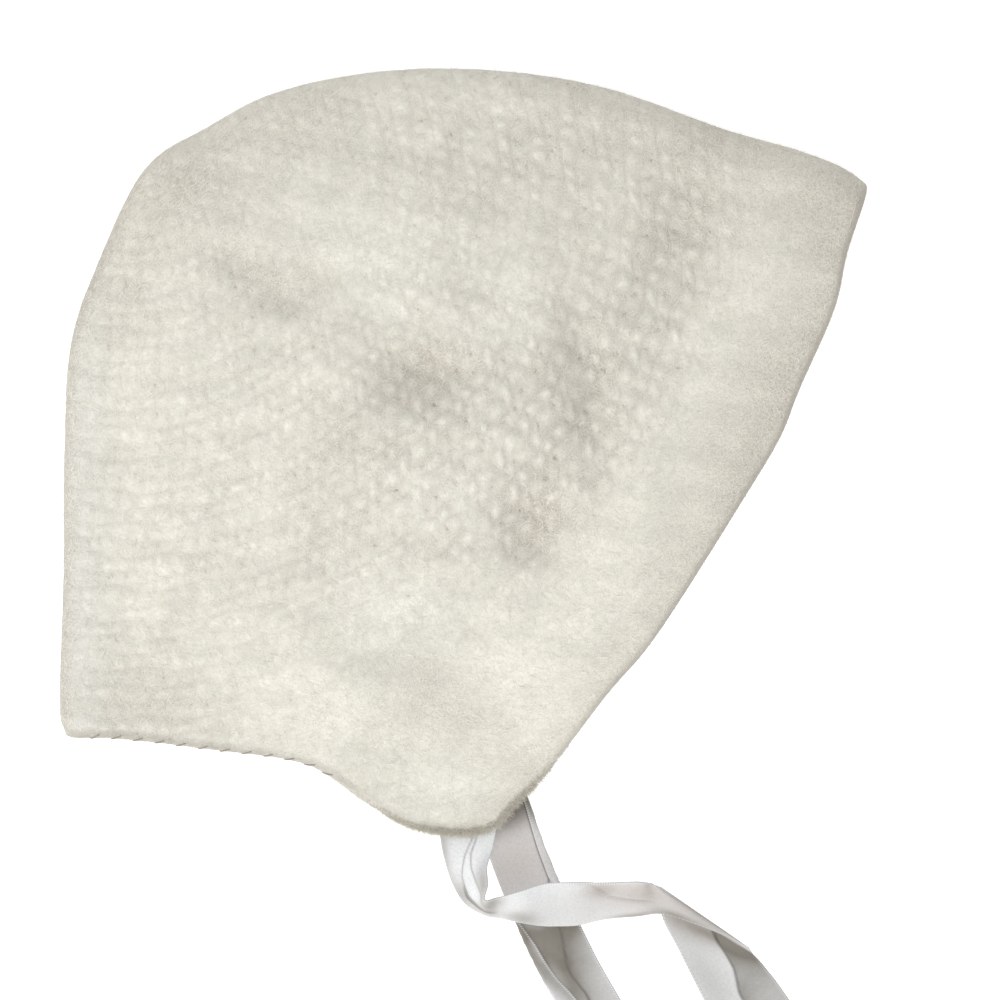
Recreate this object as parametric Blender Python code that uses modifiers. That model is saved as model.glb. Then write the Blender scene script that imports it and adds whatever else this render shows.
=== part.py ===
"""Felted wool baby bonnet with two satin ribbon ties, lying on its side.

Metres, +Z up. The bonnet lies on its side on the plane Z = 0. X runs from the back
fold to the peak over the forehead, and Y from the neck to the crown fold. The origin
is on the flat lower side, about the middle of it.
"""

import math
from typing import NamedTuple

import bmesh
import bpy
import numpy as np

# Driving sizes of the knitted bonnet
BONNET_LENGTH = 0.1755  # back fold to peak
BONNET_DEPTH = 0.167  # crown fold to the tip of the ear flap
WALL = 0.003  # felted knit
FOLD_HEIGHT = 0.013  # both layers where they turn over at the fold
FOLD_RUN = 0.008  # how far in from the fold the turn reaches
LOFT = 0.011  # rise of the upper layer over the hollow
DENT = 0.0035  # depth of the deepest dent in the upper layer
PUFF_RUN = 0.024  # how far in from the fold the loft reaches its full height
FLAP_REST = 0.0135  # how far from its tip the ear flap lies level on the ties
FLAP_RISE = 0.03  # how far past that it takes to rise to the loft
ORIGIN_SHARE = (0.47, 0.515)  # of the length and of the depth

# Driving sizes of the ties
TIE_WIDTH = 0.0159
TIE_THICKNESS = 0.001
TIE_REACH = 0.05  # from the tip of the ear flap down to the free ends
LAY_GAP = 0.0003  # between cloth that lies on cloth

# Heights of the ties' undersides between the two layers, and of the ear flap over them
LOWER_TIE_SEAT = WALL + LAY_GAP
UPPER_TIE_SEAT = LOWER_TIE_SEAT + TIE_THICKNESS + LAY_GAP
FLAP_HEIGHT = UPPER_TIE_SEAT + TIE_THICKNESS + LAY_GAP + WALL

# How finely the cages are drawn
SIDE_ROWS = 14  # even rows of the bonnet's cage, each way
FOLD_ROWS = (0.0, 0.012, 0.04)  # closer rows at the fold, as shares of a side
CURVE_STEPS = 24  # points read between two places of an outline
ROUNDED_OFF = 1 / 8  # of a cage's bend at a point, what one round of softening takes off
TIE_COLUMNS = 3


class Place(NamedTuple):
    """A point of the outline, as shares of the bonnet's length and depth."""

    along: float
    up: float


class Swell(NamedTuple):
    """A soft rise or dent of the upper layer, with its half sizes as shares of the length."""

    along: float
    up: float
    half_length: float
    half_width: float
    turn: float  # degrees
    rise: float  # share of the named height


class Station(NamedTuple):
    """A line across a tie, from its outer edge to its inner edge."""

    along: float  # share of the reach, right of the tip of the ear flap
    up: float  # share of the reach, above the tip
    across: float  # degrees
    span: float  # share of the width
    tilt: float  # degrees, with the inner edge up
    lift: float  # of the lower edge, share of the way from the floor to the seat


CROWN = Place(0.104, 0.868)
NAPE = Place(0.005, 0.124)
PEAK = Place(1.003, 0.845)
FLAP_TIP = Place(0.524, 0.008)

BACK_FOLD = (
    CROWN,
    Place(0.046, 0.745),
    Place(0.013, 0.640),
    Place(0.005, 0.500),
    Place(0.004, 0.340),
    Place(0.000, 0.215),
    NAPE,
)
TOP_FOLD = (
    CROWN,
    Place(0.178, 0.921),
    Place(0.271, 0.970),
    Place(0.406, 0.997),
    Place(0.544, 0.997),
    Place(0.679, 0.974),
    Place(0.820, 0.922),
    Place(0.903, 0.897),
    Place(0.965, 0.883),
    PEAK,
)
FACE_EDGE = (
    PEAK,
    Place(0.976, 0.763),
    Place(0.959, 0.685),
    Place(0.914, 0.581),
    Place(0.843, 0.432),
    Place(0.771, 0.315),
    Place(0.672, 0.185),
    Place(0.603, 0.086),
    Place(0.562, 0.042),
    FLAP_TIP,
)
NECK_EDGE = (
    NAPE,
    Place(0.069, 0.128),
    Place(0.183, 0.114),
    Place(0.305, 0.094),
    Place(0.378, 0.046),
    Place(0.441, 0.012),
    FLAP_TIP,
)

# Rises are shares of LOFT
LOFTS = (
    Swell(0.45, 0.55, 0.36, 0.30, 0, 1.00),
    Swell(0.84, 0.62, 0.10, 0.28, -22, 0.22),
    Swell(0.36, 0.20, 0.16, 0.09, -20, 0.20),
)
# Rises are shares of DENT
DENTS = (
    Swell(0.226, 0.740, 0.035, 0.022, -40, -0.55),
    Swell(0.280, 0.702, 0.035, 0.022, -10, -0.65),
    Swell(0.325, 0.722, 0.028, 0.020, 40, -0.45),
    Swell(0.452, 0.600, 0.058, 0.034, 10, -1.00),
    Swell(0.655, 0.590, 0.028, 0.110, 8, -0.80),
    Swell(0.585, 0.400, 0.050, 0.055, 0, -0.85),
    Swell(0.770, 0.800, 0.045, 0.080, -20, -0.60),
    Swell(0.500, 0.300, 0.040, 0.080, -35, -0.45),
    Swell(0.345, 0.385, 0.060, 0.035, 30, -0.35),
    Swell(0.075, 0.490, 0.040, 0.060, 0, -0.30),
    Swell(0.470, 0.710, 0.055, 0.040, 0, 0.45),
    Swell(0.350, 0.610, 0.055, 0.050, 0, 0.45),
    Swell(0.710, 0.420, 0.035, 0.120, -25, 0.50),
    Swell(0.360, 0.190, 0.080, 0.040, -15, 0.45),
)

# The tie sewn inside the upper layer turns on its edge, crosses the other and folds under itself
UPPER_TIE = (
    Station(-0.069, 0.221, 2, 0.79, 0, 1.00),
    Station(-0.065, 0.112, 8, 0.80, 0, 1.00),
    Station(-0.062, 0.006, 15, 0.81, 0, 1.00),
    Station(-0.062, -0.103, 13, 0.69, 9, 0.67),
    Station(-0.062, -0.197, 26, 0.68, 34, 0.15),
    Station(-0.043, -0.281, 46, 0.74, 58, 0.02),
    Station(0.005, -0.335, 90, 0.80, 70, 0.04),
    Station(0.081, -0.344, 101, 0.80, 63, 0.30),
    Station(0.172, -0.335, 98, 0.81, 54, 0.38),
    Station(0.279, -0.325, 93, 0.84, 43, 0.39),
    Station(0.422, -0.318, 85, 0.83, 43, 0.35),
    Station(0.546, -0.296, 79, 0.82, 52, 0.22),
    Station(0.666, -0.285, 83, 0.79, 55, 0.17),
    Station(0.757, -0.298, 113, 0.75, 49, 0.26),
    Station(0.846, -0.327, 137, 0.96, 29, 0.43),
    Station(0.918, -0.357, 144, 1.27, 17, 0.54),
    Station(0.966, -0.383, 145, 1.52, 14, 0.33),
    Station(0.966, -0.396, 146, 1.56, 13, 0.09),
    Station(0.968, -0.433, 151, 1.46, 6, 0.00),
    Station(0.985, -0.483, 159, 1.30, 1, 0.00),
    Station(1.018, -0.546, 169, 1.11, 0, 0.00),
    Station(1.061, -0.622, 183, 0.99, 0, 0.00),
    Station(1.120, -0.718, 197, 0.96, 0, 0.00),
    Station(1.190, -0.827, 203, 0.97, 0, 0.00),
    Station(1.253, -0.935, 209, 0.97, 0, 0.00),
)
# The tie sewn to the lower layer runs straight out and under the other one
LOWER_TIE = (
    Station(0.024, 0.234, 21, 0.77, 0, 1.00),
    Station(0.077, 0.108, 21, 0.77, 0, 1.00),
    Station(0.116, -0.005, 19, 0.77, 0, 1.00),
    Station(0.148, -0.096, 17, 0.77, -5, 0.50),
    Station(0.181, -0.183, 16, 0.78, -3, 0.12),
    Station(0.218, -0.272, 15, 0.79, 0, 0.00),
    Station(0.259, -0.361, 14, 0.80, 0, 0.00),
    Station(0.309, -0.470, 14, 0.82, 0, 0.00),
    Station(0.379, -0.611, 15, 0.82, 0, 0.00),
    Station(0.461, -0.753, 14, 0.82, 0, 0.00),
    Station(0.557, -0.918, 14, 0.82, 0, 0.00),
)


def clear_scene():
    """Removes whatever the scene holds."""
    for item in list(bpy.data.objects):
        bpy.data.objects.remove(item, do_unlink=True)


def make_material(name, colour, roughness):
    """A cloth material of one plain colour."""
    material = bpy.data.materials.new(name)
    material.use_nodes = True
    shader = material.node_tree.nodes["Principled BSDF"]
    shader.inputs["Base Color"].default_value = (*colour, 1.0)
    shader.inputs["Roughness"].default_value = roughness
    shader.inputs["Metallic"].default_value = 0.0
    return material


def plan_point(place):
    """The place in metres from the origin, seen from above."""
    return np.array([
        (place.along - ORIGIN_SHARE[0]) * BONNET_LENGTH,
        (place.up - ORIGIN_SHARE[1]) * BONNET_DEPTH,
    ])


def smooth_line(points, steps):
    """A Catmull-Rom curve through rows of numbers, with the given steps from row to row."""
    rows = np.asarray(points, float)
    rows = np.vstack([2 * rows[0] - rows[1], rows, 2 * rows[-1] - rows[-2]])
    line = []
    for a, b, c, d in zip(rows[:-3], rows[1:-2], rows[2:-1], rows[3:]):
        for t in np.arange(steps) / steps:
            bend = 2 * a - 5 * b + 4 * c - d
            twist = 3 * b - a - 3 * c + d
            line.append(b + 0.5 * t * (c - a + t * (bend + t * twist)))
    line.append(rows[-2])
    return np.array(line)


def at_shares(line, shares):
    """The points at these shares of the line's own length."""
    steps = np.linalg.norm(np.diff(line, axis=0), axis=1)
    run = np.concatenate([[0.0], np.cumsum(steps)]) / steps.sum()
    return np.stack([np.interp(shares, run, line[:, k]) for k in range(2)], axis=1)


def outline(places):
    """A side of the outline as a fine line in metres."""
    return smooth_line([plan_point(p) for p in places], CURVE_STEPS)


def row_shares():
    """Where the cage's rows lie on a side, from the fold to the open edge."""
    even = np.linspace(FOLD_ROWS[-1], 1.0, SIDE_ROWS)
    return np.concatenate([FOLD_ROWS[:-1], even])


def side_grid(shares):
    """Plan points of one side of the bonnet: a patch between its four sides."""
    top, neck = (at_shares(outline(o), shares) for o in (TOP_FOLD, NECK_EDGE))
    back, face = (at_shares(outline(o), shares) for o in (BACK_FOLD, FACE_EDGE))
    s = shares[:, None, None]
    t = shares[None, :, None]
    between_folds = (1 - t) * top[:, None] + t * neck[:, None]
    between_backs = (1 - s) * back[None] + s * face[None]
    at_folds = (1 - s) * top[0] + s * top[-1]
    at_neck = (1 - s) * neck[0] + s * neck[-1]
    return between_folds + between_backs - (1 - t) * at_folds - t * at_neck


def distance_to(line, points):
    """How far each plan point is from the line."""
    starts = line[:-1]
    ways = np.diff(line, axis=0)
    offsets = points[..., None, :] - starts
    shares = (offsets * ways).sum(-1) / (ways * ways).sum(-1)
    nearest = starts + np.clip(shares, 0, 1)[..., None] * ways
    return np.linalg.norm(points[..., None, :] - nearest, axis=-1).min(-1)


def swelling(points, swells):
    """The sum of the table's soft rises at each plan point, as a share of their height."""
    total = np.zeros(points.shape[:-1])
    for swell in swells:
        turn = math.radians(swell.turn)
        way = np.array([math.cos(turn), math.sin(turn)])
        offset = points - plan_point(swell)
        along = offset @ way / (swell.half_length * BONNET_LENGTH)
        aside = offset @ np.array([-way[1], way[0]]) / (swell.half_width * BONNET_LENGTH)
        total += swell.rise * np.exp(-along**2 - aside**2)
    return total


def eased(share):
    """A share from 0 to 1 that starts and ends level."""
    share = np.clip(share, 0, 1)
    return share * share * (3 - 2 * share)


def layer_heights(points):
    """Heights of the upper and of the lower layer's outer face over the plan points."""
    fold = np.vstack([outline(BACK_FOLD)[::-1], outline(TOP_FOLD)[1:]])
    from_fold = distance_to(fold, points)
    turned = np.sqrt(1 - (1 - np.clip(from_fold / FOLD_RUN, 0, 1)) ** 2)
    half = FOLD_HEIGHT / 2
    inside = eased(from_fold / PUFF_RUN)
    puffed = LOFT * swelling(points, LOFTS) + DENT * swelling(points, DENTS)
    upper = half + half * turned + inside * puffed
    from_tip = np.linalg.norm(points - plan_point(FLAP_TIP), axis=-1)
    raised = eased((from_tip - FLAP_REST) / FLAP_RISE)
    upper = FLAP_HEIGHT + raised * (upper - FLAP_HEIGHT)
    return upper, half - half * turned


def fuller(layer, other):
    """The layer's cage pushed out by what its softening takes off; the two meet at the fold."""
    past_face = 2 * layer[-1:] - layer[-2:-1]
    past_neck = 2 * layer[:, -1:] - layer[:, -2:-1]
    down = np.concatenate([other[1:2], layer, past_face])
    across = np.concatenate([other[:, 1:2], layer, past_neck], axis=1)
    bend = down[2:] + down[:-2] + across[:, 2:] + across[:, :-2] - 4 * layer
    full = layer - ROUNDED_OFF * bend
    full[..., 2] = np.maximum(full[..., 2], 0.0)
    return full


def build_bonnet(material):
    """The knitted bonnet: two layers that meet in the fold, open along the face and the neck."""
    shares = row_shares()
    plan = side_grid(shares)
    layers = [np.concatenate([plan, z[..., None]], axis=2) for z in layer_heights(plan)]
    upper = fuller(layers[0], layers[1])
    lower = fuller(layers[1], layers[0])
    rows = len(shares)
    mesh = bmesh.new()
    top = {}
    under = {}
    for i in range(rows):
        for j in range(rows):
            top[i, j] = mesh.verts.new(upper[i, j])
            on_fold = i == 0 or j == 0
            under[i, j] = top[i, j] if on_fold else mesh.verts.new(lower[i, j])
    for i in range(rows - 1):
        for j in range(rows - 1):
            ring = [(i, j), (i, j + 1), (i + 1, j + 1), (i + 1, j)]
            if i == j == 0:  # at the crown's corner both layers would share this point's edges
                ring.remove((0, 0))
            mesh.faces.new([top[k] for k in ring])
            mesh.faces.new([under[k] for k in reversed(ring)])
    mesh.verts.remove(top[0, 0])
    bonnet = add_object("felted_bonnet", mesh, material)
    soften(bonnet, "ALL")
    thicken(bonnet, WALL, -1.0, True)
    return bonnet


def tie_edges(station, seat):
    """Both ends of a line across a tie, in metres."""
    tip = plan_point(FLAP_TIP)
    across = math.radians(station.across)
    tilt = math.radians(station.tilt)
    half = station.span * TIE_WIDTH / 2
    way = np.array([
        math.cos(across) * math.cos(tilt),
        math.sin(across) * math.cos(tilt),
        math.sin(tilt),
    ])
    height = TIE_THICKNESS / 2 + station.lift * seat + half * abs(math.sin(tilt))
    middle = np.array([
        tip[0] + station.along * TIE_REACH,
        tip[1] + station.up * TIE_REACH,
        height,
    ])
    return middle - half * way, middle + half * way


def build_tie(name, stations, seat, material):
    """One ribbon tie, a strip lofted from line to line along its course."""
    edges = [tie_edges(station, seat) for station in stations]
    mesh = bmesh.new()
    columns = np.linspace(0, 1, TIE_COLUMNS + 1)
    grid = [[mesh.verts.new(a + k * (b - a)) for k in columns] for a, b in edges]
    for row, following in zip(grid[:-1], grid[1:]):
        for k in range(TIE_COLUMNS):
            mesh.faces.new((row[k], following[k], following[k + 1], row[k + 1]))
    tie = add_object(name, mesh, material)
    soften(tie, "PRESERVE_CORNERS")
    thicken(tie, TIE_THICKNESS, 0.0, False)
    return tie


def add_object(name, mesh, material):
    """An object of its own, in the bonnet's collection, from the finished cage."""
    data = bpy.data.meshes.new(name)
    mesh.to_mesh(data)
    mesh.free()
    data.materials.append(material)
    data.shade_smooth()
    item = bpy.data.objects.new(name, data)
    bpy.data.collections["baby_bonnet"].objects.link(item)
    return item


def soften(item, boundary):
    """Rounds the coarse cage, and its free corners too where the boundary is ALL."""
    rounding = item.modifiers.new("Softness", "SUBSURF")
    rounding.levels = 1
    rounding.render_levels = 1
    rounding.boundary_smooth = boundary


def thicken(item, thickness, offset, even):
    """Turns the open surface into cloth of this thickness."""
    cloth = item.modifiers.new("Cloth", "SOLIDIFY")
    cloth.thickness = thickness
    cloth.offset = offset
    cloth.use_even_offset = even


def main():
    """Builds the bonnet and its two ties in a collection of their own."""
    clear_scene()
    collection = bpy.data.collections.new("baby_bonnet")
    bpy.context.scene.collection.children.link(collection)
    wool = make_material("felted_wool", (0.80, 0.77, 0.68), 0.95)
    satin = make_material("satin_ribbon", (0.78, 0.76, 0.74), 0.42)
    build_bonnet(wool)
    build_tie("ribbon_tie_upper", UPPER_TIE, UPPER_TIE_SEAT, satin)
    build_tie("ribbon_tie_lower", LOWER_TIE, LOWER_TIE_SEAT, satin)


main()
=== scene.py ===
"""Looks of the felted wool baby bonnet and of its two satin ribbon ties.

Metres, +Z up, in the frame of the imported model: the bonnet lies on its side on Z = 0,
with its back fold towards -X, its face opening towards +X and its neck towards -Y.
"""

from __future__ import annotations

import logging
import math
from dataclasses import dataclass, field
from enum import Enum
from typing import NamedTuple

import bpy
import numpy as np
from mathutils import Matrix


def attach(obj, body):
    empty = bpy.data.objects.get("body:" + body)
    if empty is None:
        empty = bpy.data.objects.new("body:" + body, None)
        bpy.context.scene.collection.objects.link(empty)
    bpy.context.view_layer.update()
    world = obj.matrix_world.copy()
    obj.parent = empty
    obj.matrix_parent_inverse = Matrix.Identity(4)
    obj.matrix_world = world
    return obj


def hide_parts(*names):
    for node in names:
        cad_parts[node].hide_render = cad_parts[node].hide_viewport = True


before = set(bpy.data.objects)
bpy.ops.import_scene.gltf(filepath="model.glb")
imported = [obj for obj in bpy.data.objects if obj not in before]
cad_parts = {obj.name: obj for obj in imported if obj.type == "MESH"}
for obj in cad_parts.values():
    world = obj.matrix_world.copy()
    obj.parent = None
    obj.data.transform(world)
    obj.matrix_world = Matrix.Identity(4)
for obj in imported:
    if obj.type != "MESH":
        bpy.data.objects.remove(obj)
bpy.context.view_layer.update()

LOG = logging.getLogger("baby_bonnet")
MM = 0.001
TAU = 2 * math.pi
Colour = tuple[float, float, float]


class Signal:
    """A value socket of a shader. An expression on it adds the Math nodes that work it out."""

    def __init__(self, graph: Graph, socket: bpy.types.NodeSocket) -> None:
        """Keeps the graph that the expression's nodes go to, and the socket.

        Args:
            graph: The material's nodes.
            socket: An output socket that holds one value.
        """
        self.graph = graph
        self.socket = socket

    def __add__(self, other: Value) -> Signal:
        """The sum."""
        return self.graph.math("ADD", self, other)

    def __radd__(self, other: Value) -> Signal:
        """The sum, with a number first."""
        return self.graph.math("ADD", other, self)

    def __sub__(self, other: Value) -> Signal:
        """The difference."""
        return self.graph.math("SUBTRACT", self, other)

    def __rsub__(self, other: Value) -> Signal:
        """The difference, with a number first."""
        return self.graph.math("SUBTRACT", other, self)

    def __mul__(self, other: Value) -> Signal:
        """The product."""
        return self.graph.math("MULTIPLY", self, other)

    def __rmul__(self, other: Value) -> Signal:
        """The product, with a number first."""
        return self.graph.math("MULTIPLY", other, self)

    def __truediv__(self, other: Value) -> Signal:
        """The quotient."""
        return self.graph.math("DIVIDE", self, other)

    def __rtruediv__(self, other: Value) -> Signal:
        """The quotient, with a number first."""
        return self.graph.math("DIVIDE", other, self)

    def __pow__(self, other: Value) -> Signal:
        """The power."""
        return self.graph.math("POWER", self, other)

    def __rpow__(self, other: Value) -> Signal:
        """The power, with a number first."""
        return self.graph.math("POWER", other, self)


Value = Signal | np.ndarray | float


class Rule(Enum):
    """Functions that a pattern is written with, for arrays and for shader values alike."""

    FLOOR = (np.floor, "FLOOR")
    ROUND = (np.round, "ROUND")
    ROOT = (np.sqrt, "SQRT")
    SINE = (np.sin, "SINE")
    COSINE = (np.cos, "COSINE")
    POWER_OF_E = (np.exp, "EXPONENT")
    SIZE = (np.abs, "ABSOLUTE")
    ANGLE = (np.arctan2, "ARCTAN2")
    LEAST = (np.minimum, "MINIMUM")
    MOST = (np.maximum, "MAXIMUM")

    def __call__(self, *values: Value) -> Value:
        """Works the function out on arrays, or adds its Math node.

        Args:
            *values: One or two values, any of which may be a shader's.

        Returns:
            The array, or the shader's value.
        """
        on_arrays, operation = self.value
        for value in values:
            if isinstance(value, Signal):
                return value.graph.math(operation, *values)
        return on_arrays(*values)


def part_of(value: Value) -> Value:
    """What is left of the value above its whole number."""
    return value - Rule.FLOOR(value)


def bell(distance: Value, half_width: float) -> Value:
    """1 at no distance, falling softly to 0 past the half width."""
    share = distance / half_width
    return Rule.POWER_OF_E(share * share * -1.0)


def eased(value: Value) -> Value:
    """The value held between 0 and 1, with a level start and end."""
    share = Rule.MOST(Rule.LEAST(value, 1.0), 0.0)
    return share * share * (3.0 - 2.0 * share)


def ramp(value: Value, start: float, slope: float) -> Value:
    """0 at the start, and softly up to 1 where the value has gone on from there with this slope."""
    return eased((value - start) * slope)


class Graph:
    """The nodes of one material."""

    def __init__(self, name: str) -> None:
        """Starts an empty material.

        Args:
            name: The material's name.
        """
        self.material = bpy.data.materials.new(name)
        self.material.use_nodes = True
        self.tree = self.material.node_tree
        self.tree.nodes.clear()

    def node(
        self,
        kind: str,
        settings: dict[str, object] | None = None,
        sockets: dict[str | int, object] | None = None,
    ) -> bpy.types.Node:
        """Adds one node.

        Args:
            kind: The node's type.
            settings: Its own settings, which are set first.
            sockets: Values or links of its input sockets.

        Returns:
            The node.
        """
        made = self.tree.nodes.new(kind)
        for name, value in (settings or {}).items():
            setattr(made, name, value)
        for name, value in (sockets or {}).items():
            source = value.socket if isinstance(value, Signal) else value
            if isinstance(source, bpy.types.NodeSocket):
                self.tree.links.new(source, made.inputs[name])
            else:
                made.inputs[name].default_value = source
        return made

    def math(self, operation: str, *values: Value) -> Signal:
        """Adds a Math node.

        Args:
            operation: The node's operation.
            *values: Its one or two values.

        Returns:
            The node's value.
        """
        sockets = dict(enumerate(values))
        made = self.node("ShaderNodeMath", {"operation": operation}, sockets)
        return Signal(self, made.outputs[0])

    def place(self) -> bpy.types.NodeSocket:
        """The point of the surface in the object's own metres."""
        return self.node("ShaderNodeTexCoord").outputs["Object"]

    def split(self, vector: bpy.types.NodeSocket) -> tuple[Signal, Signal, Signal]:
        """Takes a vector apart.

        Args:
            vector: The vector's socket.

        Returns:
            Its three values.
        """
        made = self.node("ShaderNodeSeparateXYZ", sockets={0: vector})
        return tuple(Signal(self, output) for output in made.outputs)

    def measure(self, name: str) -> Signal:
        """A value that the mesh keeps at its points under this name."""
        made = self.node("ShaderNodeAttribute", {"attribute_name": name})
        return Signal(self, made.outputs["Fac"])

    def noise(
        self,
        place: bpy.types.NodeSocket,
        size: float,
        detail: float = 2.0,
        distortion: float = 0.0,
    ) -> Signal:
        """Adds soft noise.

        Args:
            place: Where it is read.
            size: The length of its broadest lumps.
            detail: How many finer layers it has.
            distortion: How far it is drawn into curls.

        Returns:
            Its value, about 0.5 on the whole.
        """
        sockets = {"Vector": place, "Scale": 1 / size, "Detail": detail, "Distortion": distortion}
        made = self.node("ShaderNodeTexNoise", sockets=sockets)
        return Signal(self, made.outputs[0])

    def mix(
        self,
        share: Value,
        first: Colour | bpy.types.NodeSocket,
        second: Colour | bpy.types.NodeSocket,
    ) -> bpy.types.NodeSocket:
        """Adds a Mix node for colours.

        Args:
            share: How much of the second colour shows.
            first: The colour below.
            second: The colour above.

        Returns:
            The mixed colour's socket.
        """
        below, above = (c if isinstance(c, bpy.types.NodeSocket) else (*c, 1.0) for c in (first, second))
        made = self.node("ShaderNodeMix", {"data_type": "RGBA"}, {0: share, 6: below, 7: above})
        return made.outputs[2]

    def layered(
        self,
        ground: Colour | bpy.types.NodeSocket,
        layers: tuple[tuple[Value, Colour], ...],
    ) -> bpy.types.NodeSocket:
        """Lays tones over a ground, one after the other.

        Args:
            ground: The colour below them all.
            layers: How much of each tone shows, and the tone.

        Returns:
            The last colour's socket.
        """
        for share, tone in layers:
            ground = self.mix(share, ground, tone)
        return ground

    def bump(self, height: Signal, distance: float, strength: float = 1.0) -> bpy.types.NodeSocket:
        """Adds a Bump node.

        Args:
            height: The relief, as a share of the distance.
            distance: How high a relief of 1 stands.
            strength: How much of it shows.

        Returns:
            The bumped normal's socket.
        """
        sockets = {"Strength": strength, "Distance": distance, "Height": height}
        return self.node("ShaderNodeBump", sockets=sockets).outputs["Normal"]

    def finish(self, sockets: dict[str, object]) -> bpy.types.Material:
        """Closes the material with its shader.

        Args:
            sockets: Values or links of the Principled shader.

        Returns:
            The material.
        """
        shader = self.node("ShaderNodeBsdfPrincipled", sockets=sockets)
        self.node("ShaderNodeOutputMaterial", sockets={"Surface": shader.outputs[0]})
        return self.material


class Place(NamedTuple):
    """A point of the outline, as shares of the bonnet's length and depth."""

    along: float
    up: float


class Swell(NamedTuple):
    """A soft spot of the bonnet, with its half sizes as shares of the bonnet's length."""

    along: float
    up: float
    half_length: float
    half_width: float
    turn: float  # degrees
    rise: float


CROWN = Place(0.104, 0.868)
NAPE = Place(0.006, 0.127)
PEAK = Place(1.004, 0.849)
FLAP_TIP = Place(0.524, 0.008)

BACK_FOLD = (
    CROWN,
    Place(0.046, 0.745),
    Place(0.013, 0.640),
    Place(0.005, 0.500),
    Place(0.004, 0.340),
    Place(0.000, 0.215),
    Place(0.0005, 0.150),
    NAPE,
)
TOP_FOLD = (
    CROWN,
    Place(0.178, 0.921),
    Place(0.271, 0.970),
    Place(0.406, 0.997),
    Place(0.544, 0.997),
    Place(0.679, 0.974),
    Place(0.820, 0.922),
    Place(0.903, 0.897),
    Place(0.948, 0.881),
    Place(0.982, 0.865),
    PEAK,
)
FACE_EDGE = (
    PEAK,
    Place(0.976, 0.763),
    Place(0.959, 0.685),
    Place(0.916, 0.581),
    Place(0.891, 0.516),
    Place(0.843, 0.432),
    Place(0.773, 0.315),
    Place(0.726, 0.243),
    Place(0.678, 0.185),
    Place(0.605, 0.086),
    Place(0.562, 0.042),
    FLAP_TIP,
)
NECK_EDGE = (
    NAPE,
    Place(0.069, 0.128),
    Place(0.183, 0.114),
    Place(0.305, 0.094),
    Place(0.378, 0.046),
    Place(0.441, 0.012),
    FLAP_TIP,
)

# Rises are shares of the loft
LOFTS = (
    Swell(0.45, 0.55, 0.36, 0.30, 0, 1.00),
    Swell(0.84, 0.62, 0.10, 0.28, -22, 0.22),
    Swell(0.36, 0.20, 0.16, 0.09, -20, 0.20),
)
# Rises are shares of the deepest dent
DENTS = (
    Swell(0.226, 0.740, 0.035, 0.024, -40, -0.32),
    Swell(0.280, 0.702, 0.035, 0.024, -10, -0.38),
    Swell(0.325, 0.722, 0.028, 0.020, 40, -0.45),
    Swell(0.452, 0.600, 0.058, 0.034, 10, -1.00),
    Swell(0.655, 0.590, 0.028, 0.110, 8, -0.68),
    Swell(0.585, 0.400, 0.050, 0.055, 0, -0.85),
    Swell(0.770, 0.800, 0.045, 0.080, -20, -0.60),
    Swell(0.500, 0.300, 0.040, 0.080, -35, -0.45),
    Swell(0.345, 0.385, 0.060, 0.035, 30, -0.35),
    Swell(0.075, 0.490, 0.040, 0.060, 0, -0.30),
    Swell(0.470, 0.710, 0.055, 0.040, 0, 0.45),
    Swell(0.350, 0.610, 0.055, 0.050, 0, 0.45),
    Swell(0.710, 0.420, 0.035, 0.120, -25, 0.50),
    Swell(0.360, 0.190, 0.080, 0.040, -15, 0.45),
)
# Painted shade on the wool, as shares of the darkest tone; painted light where they are less than 0
SHADES = (
    Swell(0.452, 0.612, 0.050, 0.030, 10, 0.62),
    Swell(0.650, 0.610, 0.040, 0.120, 8, 0.32),
    Swell(0.592, 0.410, 0.055, 0.045, 25, 0.54),
    Swell(0.240, 0.735, 0.055, 0.032, -35, 0.36),
    Swell(0.300, 0.712, 0.050, 0.030, 15, 0.38),
    Swell(0.770, 0.800, 0.050, 0.090, -20, 0.35),
    Swell(0.780, 0.930, 0.200, 0.060, -16, 0.36),
    Swell(0.960, 0.840, 0.090, 0.080, 0, 0.50),
    Swell(0.150, 0.860, 0.100, 0.050, 45, 0.40),
    Swell(0.470, 0.370, 0.050, 0.060, -35, 0.35),
    Swell(0.330, 0.400, 0.050, 0.030, 30, 0.25),
    Swell(0.520, 0.830, 0.150, 0.060, 0, 0.15),
    Swell(0.870, 0.550, 0.060, 0.230, -26, 0.50),
    Swell(0.483, 0.177, 0.070, 0.040, -30, 0.50),
    Swell(0.075, 0.700, 0.050, 0.070, 0, 0.38),
    Swell(0.180, 0.830, 0.060, 0.050, 0, 0.25),
    Swell(0.300, 0.930, 0.080, 0.040, 20, 0.35),
    Swell(0.360, 0.500, 0.050, 0.050, 0, 0.35),
    Swell(0.112, 0.177, 0.070, 0.040, 0, 0.35),
    Swell(0.424, 0.758, 0.090, 0.060, 0, -0.45),
    Swell(0.485, 0.410, 0.060, 0.050, -30, -0.40),
    Swell(0.570, 0.700, 0.045, 0.060, 0, -0.40),
    Swell(0.490, 0.060, 0.050, 0.030, 0, -0.45),
    Swell(0.430, 0.307, 0.060, 0.050, 0, -0.45),
)
# Where the stitches show more plainly than elsewhere, as shares of their full relief
OPEN_SPOTS = (
    Swell(0.530, 0.520, 0.180, 0.130, 10, 0.42),
    Swell(0.452, 0.605, 0.065, 0.050, 10, 0.28),
    Swell(0.585, 0.410, 0.070, 0.060, 30, 0.28),
    Swell(0.770, 0.680, 0.080, 0.150, -20, 0.42),
    Swell(0.620, 0.880, 0.280, 0.070, -8, 0.14),
    Swell(0.655, 0.590, 0.040, 0.110, 8, 0.25),
)
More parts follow.
